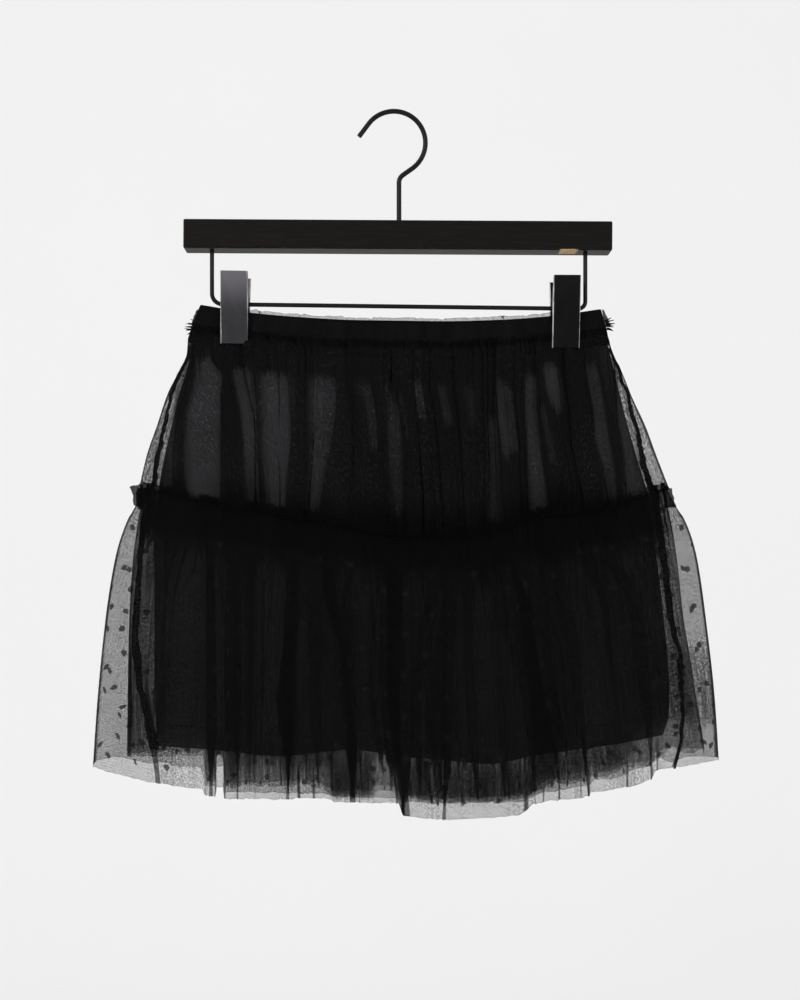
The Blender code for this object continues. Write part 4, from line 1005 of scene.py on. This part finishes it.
BACK_HEM_LINE = ((-211.0, -455.4), (-208.0, -452.4), (-200.0, -450.6), (-191.0, -450.0), (-183.0, -452.0), (-175.0, -454.0),
                 (-158.0, -455.0), (-150.0, -457.4), (-135.0, -458.0), (-132.0, -471.0), (-125.0, -471.0), (-123.8, -457.0),
                 (-119.8, -457.0), (-118.0, -475.0), (-50.0, -476.0), (-41.0, -478.0), (-15.0, -479.0), (2.0, -479.6),
                 (8.0, -481.0), (30.0, -483.2), (60.0, -482.2), (90.0, -481.6), (96.0, -479.0), (103.0, -475.6), (127.0, -472.0),
                 (137.0, -470.6), (140.0, -466.4), (152.0, -465.6), (163.0, -463.0), (167.0, -458.6), (178.0, -458.0),
                 (186.0, -451.0), (195.0, -454.0), (205.0, -450.0), (214.0, -450.0), (227.0, -450.6))
UNDER_HEM_LINE = ((-190.0, -447.0), (-133.6, -446.0), (-131.6, -466.0), (-124.8, -467.6), (-123.8, -449.0), (-119.8, -449.0),
                  (-118.4, -471.0), (-92.0, -471.0), (-66.0, -469.0), (-50.0, -471.0), (-43.0, -476.6), (-15.0, -476.6),
                  (-12.0, -473.0), (5.0, -474.6), (8.0, -479.0), (30.0, -482.0), (60.0, -481.4), (85.0, -480.8), (95.0, -478.6),
                  (103.0, -471.6), (111.0, -468.0), (127.0, -469.0), (137.0, -467.0), (139.0, -464.0), (152.0, -463.0),
                  (165.0, -457.0), (176.0, -457.4), (186.0, -449.0), (195.0, -444.0), (203.0, -447.0), (215.0, -446.0))
UNDER_BACK_LINE = tuple((x, z + (2.6 if x > -133.0 else -3.4)) for x, z in UNDER_HEM_LINE)
upper_front = dress(
    cloth("upper_tier_front_net", OUTER, (SEAM_AT["upper_left"], SEAM_AT["upper_right"]),
          tier_rows(0.50, 2.0, 50, -0.30, upper_waves, band_inset), 1000, 600.0, None, 4.0,
          UPPER_FRONT_WAVES, 0.10, 1, 134.0, hem_jag=2.0, lines=UPPER_LINES, strict=True, pressed=True,
          gather=upper_gather(311, "front"), painted_shade=upper_painted_shade(315)),
    NET, "plain_tulle", "upper_tier_front")
upper_back = dress(
    cloth("upper_tier_back_net", OUTER, (SEAM_AT["upper_right"], SEAM_AT["upper_left"]),
          tier_rows(0.50, 2.0, 46, -0.30, upper_waves, band_inset), 900, 960.0, side_thin(0.88, 0.93, True, 301), 3.4,
          UPPER_WAVES, 0.12, 2, 134.0, hem_jag=1.2, pressed=True, gather=upper_gather(312, "back"), painted_shade=upper_painted_shade(316)),
    NET, "plain_tulle", "upper_tier_back")
lower_front = dress(
    cloth("lower_tier_front_net", OUTER, (SEAM_AT["lower_left"], SEAM_AT["lower_right"]),
          tier_rows(1.95, 3.0, 48, 0.0, lower_waves, heading_inset), 1100, 900.0, None, 4.0,
          LOWER_WAVES, 0.14, 3, 200.0, hem_jag=0.8, hem_line=HEM_LINE, lines=LOWER_LINES, top_jag=2.6,
          gather=lower_gather(321, "front"), painted_shade=lower_painted_shade(325)),
    DOTTED, "dotted_tulle", "lower_tier_front")
lower_back = dress(
    cloth("lower_tier_back_net", OUTER, (SEAM_AT["lower_right"], SEAM_AT["lower_left"]),
          tier_rows(1.95, 3.0, 44, 0.0, lower_waves, heading_inset), 1000, 1000.0, side_thin(0.80, 0.86, False, 302), 3.6,
          LOWER_WAVES, 0.14, 4, 200.0, hem_jag=0.8, hem_line=HEM_LINE, back_line=BACK_HEM_LINE, top_jag=1.6,
          gather=lower_gather(322, "back"), painted_shade=lower_painted_shade(326)),
    DOTTED, "dotted_tulle", "lower_tier_back")
under_front = dress(
    cloth("under_tier_front_net", UNDER, (LEFT_END, RIGHT_END),
          tier_rows(1.99, lambda s: smooth(UNDER_HEM, s), 34, 0.0, lower_waves), 700, 800.0, None, 3.0,
          UNDER_WAVES, 0.15, 5, 190.0, hem_jag=2.2, hem_line=UNDER_HEM_LINE, gather=under_gather(331)),
    NET, "plain_tulle", "under_tier_front")
under_back = dress(
    cloth("under_tier_back_net", UNDER, ((lambda row: 2.0), (lambda row: 4.0)),
          tier_rows(1.99, lambda s: smooth(UNDER_HEM, s), 32, 0.0, lower_waves), 660, 820.0, None, 2.8,
          UNDER_WAVES, 0.15, 6, 190.0, hem_jag=1.6, back_line=UNDER_BACK_LINE, gather=under_gather(332)),
    NET, "plain_tulle", "under_tier_back")


# ---- lining and waistband -----------------------------------------------------
def lining_waves(share):
    return (0.35 + 0.65 * float(ramp(0.1, 0.7, share)), float(ramp(0.0, 0.2, share)) * 0.5)


for word, ends, seed, node in (("front", (LEFT_END, RIGHT_END), 71, "lining_front"),
                               ("back", ((lambda row: 2.0), (lambda row: 4.0)), 72, "lining_back")):
    sheet = cloth(f"lining_{word}_knit", LINING, ends, tier_rows(1.003, lambda s: smooth(LINING_HEM, s), 40, 0.0, lining_waves),
                  360, 380.0, None, 1.1, ((44.0, 0.20, 0.24, seed), (11.0, 0.10, 0.22, seed + 3)), 0.5, seed, 285.0, hem_jag=0.25)
    shell = sheet.modifiers.new("knit", "SOLIDIFY")
    shell.thickness = 0.45 * MM
    shell.offset = -1.0
    dress(sheet, KNIT, "lining_cloth", node)

BAND_ROWS = (
    # share, level, inset, wave strengths
    (0.00, 0.97, 1.50, 0.6), (0.10, 0.60, 1.55, 0.4), (0.20, 0.20, 1.50, 0.4), (0.26, 0.06, 1.45, 0.5),
    (0.30, 0.00, 1.20, 0.6), (0.33, -0.035, 0.78, 0.7), (0.36, -0.020, 0.36, 0.7), (0.40, 0.03, 0.08, 0.6),
    (0.48, 0.15, -0.05, 0.5), (0.56, 0.32, -0.15, 0.45), (0.64, 0.50, -0.2, 0.5), (0.72, 0.66, -0.15, 0.6),
    (0.79, 0.79, -0.05, 0.8), (0.85, 0.88, 0.10, 1.1), (0.90, 0.94, 0.05, 1.4), (0.95, 0.985, -0.1, 1.6),
    (1.00, 1.03, 0.25, 1.6),
)
for word, ends, seed, node in (("front", (LEFT_END, RIGHT_END), 81, "waistband_front"),
                               ("back", ((lambda row: 2.0), (lambda row: 4.0)), 84, "waistband_back")):
    band = cloth(f"waistband_{word}_casing", OUTER, ends, [(a, b, c, (d, d * 0.8)) for a, b, c, d in BAND_ROWS],
                 760, 390.0, None, 1.35, ((6.2, 0.14, 0.20, seed), (19.0, 0.10, 0.16, seed + 1)), 0.25, seed, 45.0, edge_room=4.0)
    dress(band, CASING, "waistband_cloth", node)

# the raw edge of the net that stands up behind the waist
frill = dress(
    cloth("waist_heading_edge", OUTER, ((lambda row: 2.16), (lambda row: 3.80)),
          [(k / 11, 0.34 - 0.48 * k / 11, 1.9 - 1.5 * k / 11, (0.2 + 0.8 * k / 11, 0.2 + 0.8 * k / 11)) for k in range(12)],
          420, 300.0, None, 1.9, ((13.0, 0.5, 0.30, 91), (31.0, 0.7, 0.25, 92)), 0.5, 91, 10.0, hem_jag=1.1),
    FRILL, "waistband_cloth")


# ---- side seams ----------------------------------------------------------------
def seam_ribbon(name, body, place, top, bottom, widths, inset, key, node_slot):
    rows, cols = 70, 9
    grid, uv, turn = [], [], []
    for r in range(rows):
        share = r / (rows - 1)
        level = top + (bottom - top) * share
        q = place(level) + 0.0035 * float(noise(key + 5, share * 13)) + 0.0025 * float(noise(key + 6, share * 37))
        width = float(smooth(widths, share)) * (1 + 0.18 * float(noise(key, share * 22)))
        inward = 1.0 if q < 1.0 else -1.0
        line = []
        for c in range(cols):
            f = c / (cols - 1)
            x, y, z, *_ = section(body, np.array([q, q]), level, 0.0)
            away = width * (f - 0.2)
            crumple = 0.45 * math.sin(f * 9 + 5 * float(noise(key + 1, share * 9))) + 0.6 * float(noise(key + 2, share * 16, f * 2))
            line.append((x[0] + inward * away, y[0] + inset + 0.5 * crumple, z[0] + 0.3 * float(noise(key + 3, share * 40, f * 3))))
        grid.append(line)
        uv.append([((c / (cols - 1)) * 0.006, share * 0.2) for c in range(cols)])
        turn.append([0.6 if c in (0, cols - 1) else 0.2 for c in range(cols)])
    obj = make_mesh(name, np.array(grid), np.array(uv), {"turn": np.array(turn, float), "hem_mm": np.full((rows, cols), 50.0), "gather": np.full((rows, cols), 0.85)})
    return dress(obj, SEAM_NET, node_slot)


seam_ribbon("side_seam_upper_left", OUTER, SEAM_AT["upper_left"], 1.05, 1.99, ((0, 2.6), (0.5, 3.0), (1, 3.8)), 1.2, 401, "plain_tulle")
seam_ribbon("side_seam_upper_right", OUTER, SEAM_AT["upper_right"], 1.05, 1.99, ((0, 2.4), (0.5, 3.0), (1, 4.8)), 1.2, 411, "plain_tulle")
seam_ribbon("side_seam_lower_left", OUTER, SEAM_AT["lower_left"], 1.95, 2.90, ((0, 3.6), (0.3, 3.6), (0.55, 5.4), (0.7, 5.2), (1, 7.5)), 1.6, 421, "dotted_tulle")
seam_ribbon("side_seam_lower_right", OUTER, SEAM_AT["lower_right"], 1.95, 2.98, ((0, 3.8), (0.4, 4.6), (0.7, 3.4), (1, 2.2)), 1.6, 431, "dotted_tulle")


# ---- raw ends that stick out at the band and the tier seam ------------------
def flap(name, corners, depth, folds, key, material, slot):
    """A small crumpled piece of net between four corners (x, z), top left, top right, bottom left, bottom right."""
    rows, cols = 16, 22
    (ax, az), (bx, bz), (cx, cz), (dx, dz) = corners
    grid, uv, turn = [], [], []
    for r in range(rows):
        v = r / (rows - 1)
        line = []
        for c in range(cols):
            u = c / (cols - 1)
            x = (ax * (1 - u) + bx * u) * (1 - v) + (cx * (1 - u) + dx * u) * v
            z = (az * (1 - u) + bz * u) * (1 - v) + (cz * (1 - u) + dz * u) * v
            y = depth + folds * math.sin(u * 11 + 2 * float(noise(key, v * 3))) * (1 - 0.4 * v)
            edge = max(0.0, 1 - v * 6)
            line.append((x + 0.5 * float(noise(key + 1, u * 5, v * 4)), y, z + 0.9 * edge * float(noise(key + 2, u * 14))))
        grid.append(line)
        uv.append([((c / (cols - 1)) * 0.03, v * 0.018) for c in range(cols)])
        turn.append([0.9 if c in (0, cols - 1) or r == 0 else 0.45 for c in range(cols)])
    obj = make_mesh(name, np.array(grid), np.array(uv), {"turn": np.array(turn, float), "hem_mm": np.full((rows, cols), 30.0), "gather": np.full((rows, cols), 0.75)})
    return dress(obj, material, slot)


flap("heading_end_left", ((-184.2, -260.6), (-175.5, -259.2), (-181.6, -274.2), (-174.0, -276.5)), -1.0, 1.6, 501, HEADING, "dotted_tulle")
flap("heading_end_left_inner", ((-181.0, -262.0), (-171.0, -261.0), (-179.5, -277.0), (-169.5, -277.0)), 2.0, 1.8, 505, HEADING, "dotted_tulle")
flap("heading_end_right", ((186.5, -257.6), (193.6, -262.4), (189.5, -276.4), (197.2, -275.2)), -1.0, 1.5, 511, HEADING, "dotted_tulle")
flap("band_loop_left", ((-138.6, -137.6), (-136.5, -137.0), (-141.6, -146.5), (-138.0, -149.0)), 0.4, 0.7, 521, HEADING, "waistband_cloth")
flap("band_loop_right", ((145.5, -136.6), (147.2, -138.0), (147.5, -146.5), (151.0, -146.6)), 0.4, 0.7, 531, HEADING, "waistband_cloth")


def fray(name, roots, key):
    """Short tapered threads and shreds of net, one mesh."""
    rng = np.random.RandomState(key)
    verts, faces = [], []
    for (x, z), (ex, ez), width in roots:
        start = len(verts)
        bend = rng.uniform(-0.8, 0.8)
        depth = rng.uniform(-1.2, 1.2)
        n = 8
        for k in range(n):
            t = k / (n - 1)
            cx = x + (ex - x) * t + bend * math.sin(math.pi * t) * 0.6
            cz = z + (ez - z) * t + bend * math.sin(math.pi * t) * 0.6
            w = width * (1 - t) ** 0.7 + 0.06
            length = math.hypot(ex - x, ez - z)
            px, pz = -(ez - z) / length, (ex - x) / length
            for side, lift in ((-1, 0.0), (0, 0.35), (1, 0.0)):
                verts.append(((cx + px * side * w) * MM, (depth + lift * w * 2) * MM, (cz + pz * side * w) * MM))
        for k in range(n - 1):
            a = start + k * 3
            faces += [(a, a + 1, a + 4, a + 3), (a + 1, a + 2, a + 5, a + 4)]
    mesh = bpy.data.meshes.new(name)
    mesh.from_pydata(verts, [], faces)
    mesh.validate()
    mesh.shade_smooth()
    obj = bpy.data.objects.new(name, mesh)
    scene.collection.objects.link(obj)
    return dress(obj, CASING, "waistband_cloth")


fray("band_fray_left", (
    ((-139.4, -147.2), (-144.4, -146.0), 0.9), ((-139.6, -149.0), (-146.6, -149.0), 0.9),
    ((-139.8, -150.4), (-145.6, -151.8), 0.9), ((-140.2, -152.4), (-145.0, -154.8), 0.8),
    ((-139.4, -148.0), (-145.9, -147.2), 0.6), ((-140.0, -151.4), (-146.6, -150.6), 0.7),
    ((-138.8, -146.0), (-142.6, -143.6), 0.5), ((-140.4, -153.8), (-143.6, -157.2), 0.7),
), 601)
fray("band_fray_right", (
    ((147.6, -145.4), (152.4, -142.8), 0.7), ((148.0, -146.8), (155.2, -146.6), 0.8),
    ((148.4, -148.4), (154.0, -149.4), 0.8), ((147.8, -146.2), (154.4, -144.6), 0.6),
    ((148.8, -150.6), (153.4, -152.4), 1.0), ((148.2, -147.6), (154.2, -148.2), 0.6),
), 602)

# ---- hanger ----------------------------------------------------------------------
HOOK_WIRE, HOOK_RADIUS, HOOK_TIP_ANGLE, HOOK_TIP_LENGTH, HOOK_LEAVE_ANGLE = 3.4, 22.1, 143.0, 11.4, -54.8
STEM_X, STEM_BEND, BAR_TOP_Z, BAR_HEIGHT = 3.6, 6.5, -76.4, 20.3


def arc(cx, cz, radius, start, end, count):
    return [(cx + radius * math.cos(math.radians(start + (end - start) * k / count)), 0.0,
             cz + radius * math.sin(math.radians(start + (end - start) * k / count))) for k in range(count + 1)]


def corner(before, at, after, radius, count):
    b, c, a = (Vector((p[0], p[-1])) for p in (before, at, after))
    into, out = (c - b).normalized(), (a - c).normalized()
    turn = into.angle(out)
    start = c - into * (radius * math.tan(turn / 2))
    side = Vector((-into.y, into.x))
    if side.dot(out) < 0:
        side = -side
    centre = start + side * radius
    arm = start - centre
    sign = 1.0 if into.x * out.y - into.y * out.x > 0 else -1.0
    pts = []
    for k in range(count + 1):
        t = sign * turn * k / count
        pts.append((centre.x + arm.x * math.cos(t) - arm.y * math.sin(t), 0.0, centre.y + arm.x * math.sin(t) + arm.y * math.cos(t)))
    return pts


crook = arc(0.0, HOOK_WIRE / 2 - HOOK_RADIUS, HOOK_RADIUS, HOOK_TIP_ANGLE, HOOK_LEAVE_ANGLE, 84)
tip_turn = math.radians(HOOK_TIP_ANGLE)
tip = (crook[0][0] - HOOK_TIP_LENGTH * math.sin(tip_turn), 0.0, crook[0][2] + HOOK_TIP_LENGTH * math.cos(tip_turn))
leave = math.radians(HOOK_LEAVE_ANGLE)
slant = (math.sin(leave), -math.cos(leave))
run = (STEM_X - crook[-1][0]) / slant[0]
neck = (STEM_X, 0.0, crook[-1][2] + slant[1] * run)
foot = (STEM_X, 0.0, BAR_TOP_Z - 11.5)
into_tip = [tuple(tip[k] + (crook[0][k] - tip[k]) * t for k in range(3)) for t in (0.0, 0.02, 0.06, 0.12, 0.4, 0.7)]


def round_end(t):
    return min(1.0, 0.55 + 45 * t) if t < 0.01 else 1.0


hook_piece = tube("hook_wire", into_tip + crook + corner(crook[-1], neck, foot, STEM_BEND, 14) + [foot], HOOK_WIRE / 2, 24, taper=round_end)
dress(hook_piece, WIRE, "coated_wire", "hook")

BAR_TILT = math.tan(math.radians(0.33))
under = [BAR_TOP_Z - BAR_HEIGHT - (x - 2.7) * BAR_TILT for x in (-127.3, 134.0)]
left_top, right_top = (-127.3, 0.0, under[0] + 9.5), (134.0, 0.0, under[1] + 9.5)
left_low, right_low = (-127.3, 0.0, -133.3), (134.0, 0.0, -136.6)
rail_path = ([left_top] + corner(left_top, left_low, right_low, 7.5, 18)
             + corner(left_low, right_low, right_top, 5.0, 16) + [right_top])
dress(tube("rail_wire", rail_path, 1.5, 20), WIRE, "coated_wire", "clip_rail")


def coil(name, cx, cz, node):
    """A torsion spring round the rail: close turns, and two legs that press on the plates."""
    turns, radius, wire = 7, 2.35, 0.55
    path = [(cx - 5.2, -6.4, cz + 9.5), (cx - 5.0, -3.6, cz + 3.4)]
    for k in range(turns * 16 + 1):
        a = math.tau * k / 16
        path.append((cx - 4.6 + 9.2 * k / (turns * 16), -radius * math.cos(a), cz + radius * math.sin(a)))
    path += [(cx + 5.0, 3.6, cz + 3.4), (cx + 5.2, 6.4, cz + 9.5)]
    return dress(tube(name, path, wire, 10), WIRE, "coated_wire", node)


for clip, cx, cz, turn in CLIP_TABLE:
    coil(f"{clip}_coil", cx, cz, f"{clip}_spring")

WOOD = wood_material()
# lit and shaded copies of one satin finish: the left plate's lighter face and top are painted reflected light, and both
# plates carry painted highlight lines in the edge colour
PLATES = {
    "clip_left": clip_material("clip_paint_left", (0.020, 0.019, 0.022), (0.105, 0.098, 0.110), (0.42, 0.415, 0.42), -0.1109, 0.46, 0.2),
    "clip_right": clip_material("clip_paint_right", (0.0040, 0.0040, 0.0044), (0.0052, 0.0052, 0.0056), (0.60, 0.595, 0.60), 0.1198, 0.40, 0.05),
}
for name, node in NODES.items():
    material = WOOD if name == "hanger_bar" else PLATES.get(name.rsplit("_", 1)[0]) if "clip_" in name and name != "clip_rail" else None
    if material is not None:
        for slot in node.material_slots:
            slot.material = material
        weld = node.modifiers.new("joined", "WELD")
        weld.merge_threshold = 0.00002
        soft = node.modifiers.new("soft_edges", "BEVEL")
        soft.width = 0.0012 if name == "hanger_bar" else 0.0006
        soft.segments = 3
        soft.limit_method = "ANGLE"
        soft.angle_limit = math.radians(50)
        soft.harden_normals = True

# ---- the sheets with their cut sizes and the pieces they rest on, listed only; nothing is done with them ---
for obj, cut, rests in (
    (upper_front, (0.60, 0.134), ["waistband_front_casing"]),
    (upper_back, (0.96, 0.134), ["waistband_back_casing"]),
    (lower_front, (0.90, 0.200), ["upper_tier_front_net"]),
    (lower_back, (1.00, 0.200), ["upper_tier_back_net"]),
    (under_front, (0.80, 0.190), ["upper_tier_front_net"]),
    (under_back, (0.82, 0.190), ["upper_tier_back_net"]),
    (bpy.data.objects["lining_front_knit"], (0.38, 0.285), ["waistband_front_casing"]),
    (bpy.data.objects["lining_back_knit"], (0.38, 0.285), ["waistband_back_casing"]),
    (bpy.data.objects["waistband_front_casing"], (0.39, 0.045), ["clip_left_front", "clip_right_front"]),
    (bpy.data.objects["waistband_back_casing"], (0.39, 0.045), ["clip_left_back", "clip_right_back"]),
    (frill, (0.300, 0.010), ["waistband_back_casing"]),
):
    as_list(rests)

# ---- studio ------------------------------------------------------------------------
scene.view_settings.view_transform = "Standard"
scene.view_settings.look = "None"
scene.view_settings.exposure = 0.0
scene.view_settings.gamma = 1.0
scene.cycles.transparent_max_bounces = 64
scene.cycles.max_bounces = 6
scene.cycles.diffuse_bounces = 3
scene.cycles.glossy_bounces = 3

world = bpy.data.worlds.new("studio")
scene.world = world
world.use_nodes = True
world.node_tree.nodes["Background"].inputs["Color"].default_value = (0.995, 0.995, 1.0, 1.0)
world.node_tree.nodes["Background"].inputs["Strength"].default_value = 0.80


def sweep():
    """Floor that curves up into a wall, one sheet."""
    r, floor, wall = 0.7, -1.05, 1.9
    profile = [(-4.5 + 0.5 * k, floor) for k in range(10) if -4.5 + 0.5 * k < wall - r]
    profile += [(wall - r + r * math.sin(math.radians(a)), floor + r * (1 - math.cos(math.radians(a)))) for a in range(0, 91, 5)]
    profile += [(wall, floor + r + 0.4 * k) for k in range(1, 9)]
    xs = [-4.5 + 0.5 * k for k in range(19)]
    verts = [(x, y, z) for y, z in profile for x in xs]
    n = len(xs)
    faces = [(r_ * n + c, r_ * n + c + 1, (r_ + 1) * n + c + 1, (r_ + 1) * n + c) for r_ in range(len(profile) - 1) for c in range(n - 1)]
    mesh = bpy.data.meshes.new("studio_sweep")
    mesh.from_pydata(verts, [], faces)
    mesh.shade_smooth()
    obj = bpy.data.objects.new("studio_sweep", mesh)
    scene.collection.objects.link(obj)
    mesh.materials.append(floor_material())


sweep()


def softbox(name, place, aim, size, power, colour=(1.0, 1.0, 1.0)):
    light = bpy.data.lights.new(name, "AREA")
    light.shape = "RECTANGLE"
    light.size, light.size_y = size
    light.energy = power
    light.color = colour
    obj = bpy.data.objects.new(name, light)
    obj.location = place
    obj.rotation_mode = "QUATERNION"
    obj.rotation_quaternion = (Vector(aim) - Vector(place)).to_track_quat("-Z", "Y")
    obj.visible_camera = False
    scene.collection.objects.link(obj)


softbox("key", (-1.5, -1.9, 0.9), (0.0, 0.2, -0.3), (1.4, 1.4), 26.0)
softbox("fill", (1.9, -2.0, 0.4), (0.0, 0.2, -0.3), (1.6, 1.6), 14.0)

camera = bpy.data.cameras.new("view")
camera.lens = 36.0 * 0.93 / 0.7
camera.sensor_width = 36.0
camera.shift_x, camera.shift_y = 0.02, 0.07
camera.clip_start, camera.clip_end = 0.01, 50.0
eye = bpy.data.objects.new("view", camera)
eye.location = (EYE_X * MM, -EYE_DISTANCE * MM, EYE_Z * MM)
eye.rotation_euler = (math.radians(90), 0.0, 0.0)
scene.collection.objects.link(eye)
scene.camera = eye
